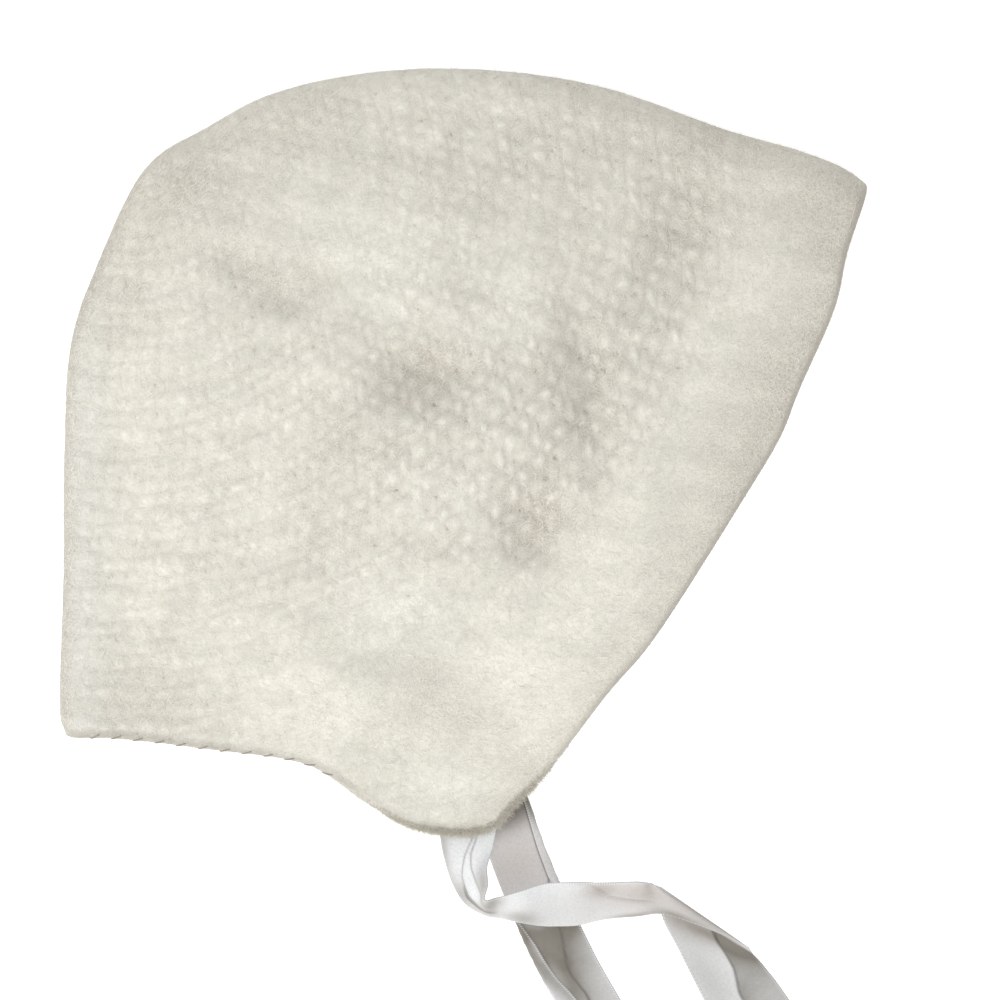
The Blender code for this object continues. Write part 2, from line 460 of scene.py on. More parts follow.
# Where felting has closed the stitches, as shares of their relief
FELTED_SPOTS = (
    Swell(0.330, 0.800, 0.120, 0.070, -30, 0.75),
    Swell(0.330, 0.220, 0.140, 0.070, -20, 0.65),
    Swell(0.150, 0.620, 0.070, 0.070, 0, 0.35),
    Swell(0.560, 0.740, 0.060, 0.050, 0, 0.40),
    Swell(0.480, 0.480, 0.050, 0.060, 45, 0.35),
)


class Cell(NamedTuple):
    """Where a point lies in its stitch."""

    across: Value  # from -0.5 to 0.5 along the row
    up: Value  # from -0.5 to 0.5 from row to row
    row: Value
    stitch: Value
    pitch: Value  # metres from stitch to stitch


@dataclass(frozen=True)
class KnitPattern:
    """Rows of stitches in rings round the corner of the crown, two rows to a ridge."""

    centre: tuple[float, float]
    row: float = 3.5 * MM
    crown_pitch: float = 3.3 * MM  # from stitch to stitch beside the crown's corner
    widening: float = 0.0098  # of the pitch, for each metre from there
    sway: float = 0.55 * MM  # how far the rows wander to either side
    sway_lengths: tuple[float, float] = (17 * MM, 11 * MM)
    pit: float = 0.52 * MM  # half width
    pit_seat: float = -0.18  # of a row, below the middle of the stitch
    pit_stretch: float = 0.8  # under 1, the pits are taller than they are wide
    shallow_pit: float = 0.25  # of the deepest ones, in every other row
    furrow: float = 0.5 * MM  # half width of the lines between the rows
    lean: float = 0.3  # of a stitch, over the row's height
    low_row: float = 0.55  # height of every other row, as a share of its neighbour's
    low_stitch: float = 0.7  # height of the lowest stitches of a row
    stitch_range: float = 0.5  # from those to the highest
    shift: float = 0.37  # of a stitch, from row to row
    scatter: tuple[float, float, float] = (1.71, 2.37, 47.3)  # what the chance is drawn from

    def cell(self, x: Value, y: Value) -> Cell:
        """Finds the stitch under a point.

        Args:
            x: Metres along X.
            y: Metres along Y.

        Returns:
            The place in the stitch.
        """
        long_turn, short_turn = (TAU / length for length in self.sway_lengths)
        east = x - self.centre[0] + self.sway * Rule.SINE(y * long_turn + x * short_turn)
        north = y - self.centre[1] + self.sway * Rule.SINE(x * long_turn - y * short_turn)
        reach = Rule.ROOT(east * east + north * north) / self.row
        row = Rule.FLOOR(reach)
        radius = (row + 0.5) * self.row
        count = Rule.ROUND(radius * TAU / (radius * self.widening + self.crown_pitch))
        place = Rule.ANGLE(north, east) / TAU * count + row * self.shift
        stitch = Rule.FLOOR(place)
        return Cell(place - stitch - 0.5, reach - row - 0.5, row, stitch, radius * TAU / count)

    def chance(self, cell: Cell) -> Value:
        """A number from 0 to 1 that differs from stitch to stitch."""
        by_row, by_stitch, spread = self.scatter
        return part_of(Rule.SINE(cell.row * by_row + cell.stitch * by_stitch) * spread)

    def dome(self, cell: Cell) -> Value:
        """The rounded relief of the stitches.

        Args:
            cell: The place in the stitch.

        Returns:
            From 0 between the stitches to about 1 on the highest of them.
        """
        beside = 0.5 + 0.5 * Rule.COSINE((cell.across + cell.up * self.lean) * TAU)
        over = 0.5 + 0.5 * Rule.COSINE(cell.up * TAU)
        alternate = part_of(cell.row * 0.5) * 2.0
        ridge = 1.0 - alternate * (1.0 - self.low_row)
        return beside * over * ridge * (self.low_stitch + self.stitch_range * self.chance(cell))

    def pits(self, cell: Cell) -> Value:
        """The small dark pits between neighbouring stitches.

        Args:
            cell: The place in the stitch.

        Returns:
            From 0 to 1 in the middle of the deepest pits.
        """
        beside = (0.5 - Rule.SIZE(cell.across)) * cell.pitch
        over = (cell.up - self.pit_seat) * self.row
        deep = self.shallow_pit + (1.0 - self.shallow_pit) * part_of(cell.row * 0.5) * 2.0
        return bell(Rule.ROOT(beside * beside + over * over * self.pit_stretch), self.pit) * deep

    def furrows(self, cell: Cell) -> Value:
        """The soft lines between the rows, from 0 to 1."""
        return bell((0.5 - Rule.SIZE(cell.up)) * self.row, self.furrow)


class Amount(NamedTuple):
    """How much of a darker tone shows."""

    everywhere: float
    in_knit: float  # more, where the stitches are open
    in_painted_shade: float  # more, where shade is painted

    def at(self, knit: Value, painted_shade: Value) -> Value:
        """The amount where the stitches are so open and so much shade is painted."""
        return self.everywhere + knit * self.in_knit + painted_shade * self.in_painted_shade


@dataclass(frozen=True)
class FeltedWool:
    """Finish of the knit: cream wool, brushed and felted, with painted shade in its dents and pits."""

    cream: Colour = (0.704, 0.681, 0.608)
    # painted light, where the painted shade falls below 0
    painted_light: Colour = (0.790, 0.772, 0.705)
    oat: Colour = (0.650, 0.630, 0.560)
    # painted shade: dents, edges, stitch hollows, furrows and gaps between hairs
    painted_shade: Colour = (0.405, 0.364, 0.308)
    # dark brown: painted shade in the pits between stitches; also the dark grains and hairs
    pit: Colour = (0.235, 0.200, 0.150)
    # painted shade on the rounded rim and along the fold
    rim: Colour = (0.290, 0.265, 0.225)
    # painted cool shade where the back fold rounds down
    cool: Colour = (0.560, 0.565, 0.540)
    mottling: float = 9 * MM  # size of the broad changes of tone
    patch: float = 6.5 * MM  # size of the patches where the pits are open
    speck: float = 0.9 * MM
    grain: float = 0.45 * MM
    hair: float = 2.4 * MM  # length of the curls that the brushed hairs lie in
    short_hair: float = 0.45  # of that length
    dark_hair: float = 0.7  # of that length
    hair_lines: float = 7.0  # hairs from one lump of a curl to the next
    hair_edge: float = 4.5  # how sharply a hair's sides end
    thinning: float = 1.6  # power that leaves the dark hairs thinner than the others
    grains: Amount = Amount(0.02, 0.08, 0.45)
    gaps: Amount = Amount(0.11, 0.0, 0.8)  # painted shade in the gaps between the brushed hairs
    dark_hairs: Amount = Amount(0.02, 0.06, 0.8)
    stitch_shade: float = 0.75  # share of a stitch's height, under which it lies in shade
    deepest_pit: float = 0.85  # the most painted shade that a pit takes
    raised: float = 0.28 * MM  # by the hairs and the stitches

    def hairs(self, graph: Graph, place: bpy.types.NodeSocket, size: float) -> Signal:
        """Thin curled lines like hairs that lie on the felt.

        Args:
            graph: The material's nodes.
            place: Where they are read.
            size: The length of their curls.

        Returns:
            1 on a hair and 0 beside it.
        """
        lumps = graph.noise(place, size, detail=3.0, distortion=0.8) * self.hair_lines
        return 1.0 - ramp(Rule.SIZE(part_of(lumps) - 0.5), start=0.0, slope=self.hair_edge)

    def material(self, knit: KnitPattern) -> bpy.types.Material:
        """Makes the material.

        Args:
            knit: The stitches that it shows.

        Returns:
            The material.
        """
        graph = Graph("felted_wool")
        place = graph.place()
        x, y, _ = graph.split(place)
        cell = knit.cell(x, y)
        dome = knit.dome(cell)
        strength = graph.measure("knit")
        shade = graph.measure("shade")
        painted_shade = Rule.MOST(shade, 0.0)
        mottle = graph.noise(place, self.mottling, detail=4.0, distortion=0.4)
        specks = graph.noise(place, self.speck, detail=3.0, distortion=0.6)
        grain = ramp(graph.noise(place, self.grain), start=0.52, slope=-6.0)
        open_spots = ramp(graph.noise(place, self.patch), start=0.36, slope=4.5)
        long_hairs = self.hairs(graph, place, self.hair)
        short_hairs = self.hairs(graph, place, self.hair * self.short_hair)
        dark_hairs = self.hairs(graph, place, self.hair * self.dark_hair) ** self.thinning
        gaps = (1.0 - long_hairs) * (1.0 - short_hairs) * ramp(specks, start=0.62, slope=-3.0)
        hollow = Rule.MOST(self.stitch_shade - dome, 0.0) * strength
        pits = knit.pits(cell) * strength * open_spots
        furrows = knit.furrows(cell) * strength
        # painted shade, deeper in the stitch hollows
        greyed = painted_shade * (0.50 + 0.6 * specks + hollow * 0.8)
        ground = graph.mix(ramp(mottle, start=0.38, slope=3.6), self.oat, self.cream)
        # layers of painted shade and painted light: cool shade on the back fold, shade in dents and along
        # edges, light where shade is below 0, shade in hair gaps, stitch hollows, furrows and pits, and on
        # the rim
        colour = graph.layered(ground, (
            (graph.measure("cool") * 0.6, self.cool),
            (Rule.LEAST(greyed, 1.0), self.painted_shade),
            (Rule.MOST(shade * -3.0, 0.0), self.painted_light),
            (grain * self.grains.at(strength, painted_shade), self.pit),
            (gaps * self.gaps.at(strength, painted_shade), self.painted_shade),
            (hollow * (0.18 + 0.4 * open_spots), self.painted_shade),
            (furrows * open_spots * specks * 0.5, self.painted_shade),
            (dark_hairs * self.dark_hairs.at(strength, painted_shade), self.pit),
            (Rule.LEAST(pits * (0.34 + 1.2 * dark_hairs), self.deepest_pit), self.pit),
            (graph.measure("rim") * (0.4 + 0.8 * specks), self.rim),
        ))
        relief = long_hairs * 0.16 + short_hairs * 0.12 + specks * 0.4 - pits * 0.7 - furrows * 0.4
        relief = relief + Rule.LEAST(dome, 1.0) * strength * 1.35
        return graph.finish({
            "Base Color": colour,
            "Roughness": 0.95,
            "Sheen Weight": 0.25,
            "Sheen Roughness": 0.6,
            "Specular IOR Level": 0.2,
            "Normal": graph.bump(relief, self.raised, strength=0.9),
        })


@dataclass(frozen=True)
class LooseWool:
    """Finish of the single hairs that stand off the felt."""

    name: str
    colour: Colour

    def material(self) -> bpy.types.Material:
        """The material, one tone for hairs that are thinner than the eye resolves."""
        sockets = {"Base Color": (*self.colour, 1.0), "Roughness": 0.9, "Specular IOR Level": 0.2}
        return Graph(self.name).finish(sockets)


@dataclass(frozen=True)
class EdgeYarn:
    """Finish of the twisted yarn that whips the neck edge."""

    light: Colour = (0.38, 0.35, 0.30)
    dark: Colour = (0.20, 0.175, 0.14)
    twist: float = 0.6 * MM
    fluff: float = 1.2 * MM  # size of its uneven spots
    raised: float = 0.06 * MM  # by the plies

    def material(self) -> bpy.types.Material:
        """Makes the material, with the yarn's plies across its length.

        Returns:
            The material.
        """
        graph = Graph("edge_yarn")
        place = graph.place()
        x, y, z = graph.split(place)
        plies = 0.5 + 0.5 * Rule.SINE((x + y + z) * (TAU / self.twist))
        tone = plies * 0.6 + graph.noise(place, self.fluff) * 0.5
        colour = graph.mix(tone, self.dark, self.light)
        normal = graph.bump(plies, self.raised)
        return graph.finish({"Base Color": colour, "Roughness": 0.9, "Normal": normal})


@dataclass(frozen=True)
class SatinRibbon:
    """Finish of the ties: fine satin with a dotted selvedge, painted soft grey shade where it turns away,
    and painted warm light.
    """

    bright: Colour = (0.690, 0.700, 0.710)
    # painted shade where the ribbon turns away and where other parts shade it
    grey: Colour = (0.150, 0.135, 0.110)
    # painted shade in the creases
    deep: Colour = (0.050, 0.043, 0.033)
    # painted warm light, pinkish
    painted_warm_light: Colour = (0.500, 0.450, 0.425)
    width: float = 15.9 * MM
    thread: float = 0.34 * MM
    twill: float = 0.6  # slant of the weave across the ribbon
    selvedge: float = 0.55 * MM
    dot: float = 0.52 * MM
    speck: float = 0.5 * MM
    cloud: float = 7 * MM  # size of the soft changes of tone
    raised: float = 0.05 * MM  # by the weave and the selvedge

    def material(self) -> bpy.types.Material:
        """Makes the material from the ribbon's own map: metres along it, shares across it.

        Returns:
            The material.
        """
        graph = Graph("satin_ribbon")
        along, across, _ = graph.split(graph.node("ShaderNodeUVMap", {"uv_map": "course"}).outputs[0])
        place = graph.place()
        beside = across * self.width
        weave = 0.5 + 0.5 * Rule.SINE((along + beside * self.twill) * (TAU / self.thread))
        threads = 0.5 + 0.5 * Rule.SINE(beside * (TAU / self.thread * 1.3))
        specks = graph.noise(place, self.speck, detail=3.0)
        cloud = graph.noise(place, self.cloud, detail=3.0, distortion=0.5)
        edge = (0.5 - Rule.SIZE(across - 0.5)) * self.width
        solid = self.selvedge * 0.6
        border = 1.0 - eased((edge - solid) / solid)
        dots = border * (0.5 + 0.5 * Rule.SINE(along * (TAU / self.dot)))
        shade = graph.measure("shade") * (0.82 + 0.36 * cloud)
        # painted shade, painted warm light and painted crease shade from the tie's measures; the selvedge
        # dots are partly their weave and partly a painted highlight
        colour = graph.layered(self.bright, (
            (graph.measure("warm"), self.painted_warm_light),
            (Rule.LEAST(shade, 1.0), self.grey),
            (graph.measure("crease") * 0.85, self.deep),
            (ramp(specks, start=0.3, slope=2.2) * 0.16, self.grey),
            ((border - dots) * 0.12, self.grey),
            (dots * 0.45, self.bright),
        ))
        relief = weave * 0.25 + threads * 0.15 + specks * 0.4 + dots * 0.9
        return graph.finish({
            "Base Color": colour,
            "Roughness": 0.42 + 0.14 * specks,
            "Sheen Weight": 0.15,
            "Specular IOR Level": 0.45,
            "Normal": graph.bump(relief, self.raised, strength=0.8),
        })


@dataclass(frozen=True)
class PaleFloor:
    """Finish of the floor: matt and almost white."""

    white: Colour = (0.930, 0.930, 0.930)
    off_white: Colour = (0.915, 0.915, 0.912)
    glow: float = 0.42  # lifts the shadows, as a light table does

    def material(self) -> bpy.types.Material:
        """Makes the material.

        Returns:
            The material.
        """
        graph = Graph("pale_floor")
        colour = graph.mix(graph.noise(graph.place(), 0.4), self.white, self.off_white)
        return graph.finish({
            "Base Color": colour,
            "Roughness": 0.9,
            "Specular IOR Level": 0.1,
            "Emission Color": (1.0, 1.0, 1.0, 1.0),
            "Emission Strength": self.glow,
        })


def unit(vectors: np.ndarray) -> np.ndarray:
    """The vectors at a length of 1."""
    return vectors / np.maximum(np.linalg.norm(vectors, axis=-1, keepdims=True), 1e-12)


def smooth_line(points: np.ndarray, steps: int) -> np.ndarray:
    """Draws a Catmull-Rom curve through rows of numbers.

    Args:
        points: The rows.
        steps: Points drawn from row to row.

    Returns:
        The rows of the curve.
    """
    rows = np.vstack([2 * points[0] - points[1], points, 2 * points[-1] - points[-2]])
    line = []
    for a, b, c, d in zip(rows[:-3], rows[1:-2], rows[2:-1], rows[3:]):
        for t in np.arange(steps) / steps:
            bend = 2 * a - 5 * b + 4 * c - d
            twist = 3 * b - a - 3 * c + d
            line.append(b + 0.5 * t * (c - a + t * (bend + t * twist)))
    line.append(rows[-2])
    return np.array(line)


def at_shares(line: np.ndarray, shares: np.ndarray) -> np.ndarray:
    """Finds points by the line's own length.

    Args:
        line: Its points.
        shares: Shares of its length.

    Returns:
        The points there.
    """
    steps = np.linalg.norm(np.diff(line, axis=0), axis=1)
    run = np.concatenate([[0.0], np.cumsum(steps)]) / steps.sum()
    return np.stack([np.interp(shares, run, column) for column in line.T], axis=-1)


def distance_to(line: np.ndarray, points: np.ndarray) -> np.ndarray:
    """Measures how far plan points are from a line.

    Args:
        line: The line's plan points.
        points: A grid of plan points.

    Returns:
        Their distances.
    """
    starts = line[:-1]
    ways = np.diff(line, axis=0)
    lengths = (ways * ways).sum(-1)
    rows = []
    for row in points:
        offsets = row[:, None, :] - starts
        shares = np.clip((offsets * ways).sum(-1) / lengths, 0, 1)
        rows.append(np.linalg.norm(offsets - shares[..., None] * ways, axis=-1).min(-1))
    return np.array(rows)


def quads(index: np.ndarray, turned: bool) -> np.ndarray:
    """Joins a grid of points with faces.

    Args:
        index: The points' numbers.
        turned: Whether the faces look the other way.

    Returns:
        Four numbers for each face.
    """
    ring = [index[:-1, :-1], index[1:, :-1], index[1:, 1:], index[:-1, 1:]]
    if turned:
        ring.reverse()
    return np.stack(ring, axis=-1).reshape(-1, 4)


def ring_faces(ring: np.ndarray, following: np.ndarray) -> list[list[int]]:
    """Joins two closed rings of points with faces.

    Args:
        ring: The first ring's numbers.
        following: The next ring's numbers.

    Returns:
        Four numbers for each face.
    """
    return np.stack([ring, np.roll(ring, -1), np.roll(following, -1), following], -1).tolist()


def wave(points: np.ndarray, lengths: tuple[float, float], turn: float) -> np.ndarray:
    """Slow unevenness over the plan.

    Args:
        points: Plan points.
        lengths: Wavelengths of the two waves that cross.
        turn: What sets one unevenness apart from another.

    Returns:
        Heights from -1 to 1.
    """
    x, y = points[..., 0] * TAU, points[..., 1] * TAU
    first = np.sin((x + 0.6 * y) / lengths[0] + turn)
    return first * np.sin((y - 0.5 * x) / lengths[1] + 1.7 * turn)


def add_mesh(
    name: str,
    points: np.ndarray,
    faces: list[tuple[int, ...]],
    material: bpy.types.Material,
    measures: dict[str, np.ndarray] | None = None,
) -> bpy.types.Object:
    """Makes a smooth object from points and faces, and lets it ride on the one body.

    Args:
        name: The piece's name.
        points: Its points.
        faces: Its faces, as the points' numbers.
        material: Its finish.
        measures: Values at its points that the finish reads.

    Returns:
        The object.
    """
    data = bpy.data.meshes.new(name)
    data.from_pydata(points.tolist(), [], faces)
    for key, values in (measures or {}).items():
        data.attributes.new(key, "FLOAT", "POINT").data.foreach_set("value", values.astype(np.float32))
    data.materials.append(material)
    data.shade_smooth()
    piece = bpy.data.objects.new(name, data)
    bpy.context.scene.collection.objects.link(piece)
    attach(piece, "root")
    LOG.info("%s: %d points, %d faces", name, len(points), len(faces))
    return piece


@dataclass
class BonnetForm:
    """The shape of the bonnet's two layers as it lies on its side."""

    length: float = 175.5 * MM
    depth: float = 167 * MM
    wall: float = 3 * MM
    fold_height: float = 13 * MM
    fold_run: float = 8 * MM
    loft: float = 11 * MM
    dent: float = 3.5 * MM
    puff_run: float = 24 * MM
    flap_rest: float = 13.5 * MM
    flap_rise: float = 30 * MM
    flap_height: float = 8.9 * MM
    origin_share: Place = Place(0.47, 0.515)
    rows: int = 193
    fold_rows: int = 10  # of them in the turn of the fold
    edge_rows: int = 14  # of them drawn in where the rim rounds off
    curve_steps: int = 12

    def plan_point(self, place: Place | Swell) -> np.ndarray:
        """The place in metres from the origin, seen from above."""
        shares = np.array([place.along, place.up]) - np.array(self.origin_share)
        return shares * np.array([self.length, self.depth])

    def joined(self, first: tuple[Place, ...], second: tuple[Place, ...]) -> tuple[np.ndarray, np.ndarray]:
        """Draws two sides of the outline as one curve through their common place.

        Args:
            first: A side that ends where the second does, or starts where it does.
            second: The other side.

        Returns:
            Both sides, from the first place of each to the last.
        """
        at_start = first[0] == second[0]
        ahead = first[::-1] if at_start else first
        after = second[1:] if at_start else second[-2::-1]
        line = smooth_line(np.array([self.plan_point(p) for p in (*ahead, *after)]), self.curve_steps)
        split = (len(first) - 1) * self.curve_steps
        one, other = line[: split + 1], line[split:]
        return (one[::-1], other) if at_start else (one, other[::-1])

    def shares(self) -> np.ndarray:
        """Places the rows on a side: closer in the turn of the fold, and even past it.

        Returns:
            Shares of the side's length.
        """
        turn_share = self.fold_run / self.length
        steps = np.arange(self.fold_rows) / self.fold_rows
        turning = turn_share * (1 - np.cos(steps * math.pi / 2))
        return np.concatenate([turning, np.linspace(turn_share, 1.0, self.rows - self.fold_rows)])

    def plan(self) -> np.ndarray:
        """Draws the plan of one side of the bonnet.

        Returns:
            Plan points by row from the back fold to the face edge, and from the top fold to the neck.
        """
        shares = self.shares()
        back, top = (at_shares(side, shares) for side in self.joined(BACK_FOLD, TOP_FOLD))
        face, neck = (at_shares(side, shares) for side in self.joined(FACE_EDGE, NECK_EDGE))
        s, t = shares[:, None, None], shares[None, :, None]
        between_folds = (1 - t) * top[:, None] + t * neck[:, None]
        between_backs = (1 - s) * back[None] + s * face[None]
        at_folds = (1 - s) * top[0] + s * top[-1]
        at_neck = (1 - s) * neck[0] + s * neck[-1]
        plan = between_folds + between_backs - (1 - t) * at_folds - t * at_neck
        return self.drawn_in(plan)

    def drawn_in(self, plan: np.ndarray) -> np.ndarray:
        """The plan with its open edges drawn in, so that the rounded rim ends on the outline.

        Args:
            plan: The plan points.

        Returns:
            The plan points.
        """
        face_way = unit(np.gradient(plan[-1], axis=0))
        neck_way = unit(np.gradient(plan[:, -1], axis=0))
        face_out = np.stack([-face_way[:, 1], face_way[:, 0]], axis=-1)
        neck_out = np.stack([neck_way[:, 1], -neck_way[:, 0]], axis=-1)
        near = eased(1 - np.arange(self.rows)[::-1] / self.edge_rows)
        by_face, by_neck = near[:, None, None], near[None, :, None]
        shift = face_out[None] * by_face + neck_out[:, None] * by_neck
        return plan - self.wall / 2 * shift / np.maximum(by_face + by_neck, 1)

    def swelling(self, points: np.ndarray, swells: tuple[Swell, ...]) -> np.ndarray:
        """Adds up soft spots.

        Args:
            points: Plan points.
            swells: The spots.

        Returns:
            The sum of their rises at each point.
        """
        total = np.zeros(points.shape[:-1])
        for swell in swells:
            turn = math.radians(swell.turn)
            way = np.array([math.cos(turn), math.sin(turn)])
            offset = points - self.plan_point(swell)
            along = offset @ way / (swell.half_length * self.length)
            aside = offset @ np.array([-way[1], way[0]]) / (swell.half_width * self.length)
            total += swell.rise * np.exp(-along**2 - aside**2)
        return total

    def from_fold(self, plan: np.ndarray) -> np.ndarray:
        """How far the plan points are from the folds at the back and the top."""
        return distance_to(np.vstack([plan[0, ::-1], plan[1:, 0]]), plan)

    def heights(self, plan: np.ndarray) -> tuple[np.ndarray, np.ndarray]:
        """Works out the outer faces of the layers.

        Args:
            plan: The plan points, whose first rows lie in the folds.

        Returns:
            Heights of the upper and of the lower layer.
        """
        from_fold = self.from_fold(plan)
        turned = np.sqrt(1 - (1 - np.clip(from_fold / self.fold_run, 0, 1)) ** 2)
        half = self.fold_height / 2
        puffed = self.loft * self.swelling(plan, LOFTS) + self.dent * self.swelling(plan, DENTS)
        upper = half + half * turned + eased(from_fold / self.puff_run) * puffed
        from_tip = np.linalg.norm(plan - self.plan_point(FLAP_TIP), axis=-1)
        raised = eased((from_tip - self.flap_rest) / self.flap_rise)
        return self.flap_height + raised * (upper - self.flap_height), half - half * turned


class Shell(NamedTuple):
    """The outer face of the bonnet: points, their normals, and each layer's numbers of them."""

    points: np.ndarray
    normals: np.ndarray
    upper: np.ndarray
    lower: np.ndarray


@dataclass
class FeltedBonnet:
    """The knitted and felted bonnet, one wall that folds over at the back and the top."""

    form: BonnetForm = field(default_factory=BonnetForm)
    finish: FeltedWool = field(default_factory=FeltedWool)
    relief: float = 0.60 * MM  # of the plainest stitches
    plainness: float = 0.34  # of the stitches outside their open spots
    least_knit: float = 0.07  # what is left of them where the wool is brushed smooth
    most_felted: float = 0.85  # share of the relief that felting takes at the most
    fold_press: float = 7 * MM  # from the fold, where the relief is pressed flat
    pressed: float = 0.2  # share of the relief that is left in the fold
    lumps: float = 0.45 * MM  # unevenness of the whole wall
    lump_lengths: tuple[float, float] = (19 * MM, 13 * MM)
    lump_turn: float = 0.6
    plain_band: float = 16 * MM  # brushed smooth along the face edge
    band_fade: float = 16 * MM
    plain_flap: float = 34 * MM  # brushed smooth round the tip of the ear flap
    flap_fade: float = 34 * MM
    thinning: int = 3  # rows of the outer face for each of the inner one
    rim_turns: tuple[float, ...] = (24, 48, 72, 96, 132)  # degrees
    rim_tones: tuple[float, ...] = (0.65, 1.0, 0.9, 0.8, 0.7)  # painted shade at those turns
    rim_shade: float = 0.6 * MM  # width of the rim's shade on the outer face
    rim_start: float = 0.35  # of its darkness, where the rim begins
    face_rim: float = 0.95  # painted shade on the rolled rim
    neck_rim: float = 1.0
    flap_rim: float = 0.08  # share of it that is left at the ear flap
    flap_reach: float = 28 * MM
    fold_rim: float = 0.30  # painted shade along the line that the fold ends in
    fold_shade: float = 0.9 * MM
    band_shade: float = 0.20  # grey along the face edge
    band_width: float = 6 * MM
    turned_shade: float = 0.58  # of the back fold, where it turns down
    turned_width: float = 2.4 * MM
    turned_from: float = 8 * MM  # from the nape, along X, where that fades
    turned_fade: float = 20 * MM
    cool_band: float = 14 * MM  # of painted cool shade, along the back fold
    painted_shade_depth: float = 0.55  # the darkest that the painted shade gets

    def __post_init__(self) -> None:
        """Works out the plan, the stitches and the outer face."""
        self.plan = self.form.plan()
        self.knit = KnitPattern(tuple(self.form.plan_point(CROWN)))
        self.strength = self.knit_strength()
        self.smooth_shell = self.outer_shell()
        self.shell = self.knitted_shell(self.smooth_shell)

    def knit_strength(self) -> np.ndarray:
        """Works out how plainly the stitches show.

        Returns:
            From 0 to 1 at each plan point.
        """
        from_face = distance_to(self.plan[-1], self.plan)
        from_tip = np.linalg.norm(self.plan - self.form.plan_point(FLAP_TIP), axis=-1)
        shown = eased((from_face - self.plain_band) / self.band_fade)
        shown = shown * eased((from_tip - self.plain_flap) / self.flap_fade)
        shown = shown * (self.plainness + self.form.swelling(self.plan, OPEN_SPOTS))
        closed = np.clip(self.form.swelling(self.plan, FELTED_SPOTS), 0, self.most_felted)
        return np.clip(self.least_knit + shown * (1 - closed), 0, 1)

    def outer_shell(self) -> Shell:
        """Joins both layers in the fold, before the knit's relief.

        Returns:
            The outer face.
        """
        rows = self.form.rows
        upper_z, lower_z = self.form.heights(self.plan)
        upper = np.arange(rows * rows).reshape(rows, rows)
        lower = upper.copy()
        lower[1:, 1:] = rows * rows + np.arange((rows - 1) ** 2).reshape(rows - 1, rows - 1)
        on_top = np.concatenate([self.plan, upper_z[..., None]], axis=2).reshape(-1, 3)
        below = np.concatenate([self.plan, lower_z[..., None]], axis=2)[1:, 1:].reshape(-1, 3)
        points = np.vstack([on_top, below])
        points[upper[0], 2] = self.form.fold_height / 2
        points[upper[:, 0], 2] = self.form.fold_height / 2
        faces = np.vstack([quads(upper, True)[1:], quads(lower, False)[1:]])
        return Shell(points, self.face_normals(points, faces), upper, lower)

    def face_normals(self, points: np.ndarray, faces: np.ndarray) -> np.ndarray:
        """Finds the normals at the points of an open surface.

        Args:
            points: The points.
            faces: Four point numbers for each face.

        Returns:
            The normals, pointing out of the wool.
        """
        a, b, c, d = (points[faces[:, k]] for k in range(4))
        across = np.cross(c - a, d - b)
        normals = np.zeros_like(points)
        for k in range(4):
            np.add.at(normals, faces[:, k], across)
        return unit(normals)

    def knitted_shell(self, smooth: Shell) -> Shell:
        """Presses the stitches into the smooth shell.

        Args:
            smooth: The shell that the highest stitches reach.

        Returns:
            The shell with its relief.
        """
        dome = self.knit.dome(self.knit.cell(self.plan[..., 0], self.plan[..., 1]))
        sunk = self.relief * self.strength * (1 - np.clip(dome, 0, 1))
        uneven = self.lumps * (0.5 - 0.5 * wave(self.plan, self.lump_lengths, self.lump_turn))
        by_fold = eased(self.form.from_fold(self.plan) / self.fold_press)
        sunk = (sunk + uneven) * (self.pressed + (1 - self.pressed) * by_fold)
        depths = np.zeros(len(smooth.points))
        depths[smooth.lower.ravel()] = sunk.ravel()
        depths[smooth.upper.ravel()] = sunk.ravel()
        points = smooth.points - smooth.normals * depths[:, None]
        points[:, 2] = np.maximum(points[:, 2], 0.0)
        faces = np.vstack([quads(smooth.upper, True)[1:], quads(smooth.lower, False)[1:]])
        return smooth._replace(points=points, normals=self.face_normals(points, faces))

    def open_loop(self, upper: np.ndarray, lower: np.ndarray) -> np.ndarray:
        """Goes round the open edge: peak, flap, nape, and back by the lower layer.

        Args:
            upper: The upper layer's numbers.
            lower: The lower layer's numbers.

        Returns:
            The numbers in that order.
        """
        ahead = [upper[-1, :], upper[-2::-1, -1]]
        back = [lower[1:, -1], lower[-1, -2:0:-1]]
        return np.concatenate([*ahead, *back])

    def rim_rows(self, loop: np.ndarray) -> list[np.ndarray]:
        """Rounds the wall's edge.

        Args:
            loop: The outer face's numbers round the open edge.

        Returns:
            The points of each row from the outer face to the inner one.
        """
        smooth, normals = self.smooth_shell.points[loop], self.smooth_shell.normals[loop]
        ways = unit(np.roll(smooth, -2, axis=0) - np.roll(smooth, 2, axis=0))
        out = unit(np.cross(normals, ways))
        half = self.form.wall / 2
        middle = smooth - normals * half
        turns = [math.radians(turn) for turn in self.rim_turns]
        return [middle + half * (math.cos(a) * normals + math.sin(a) * out) for a in turns]

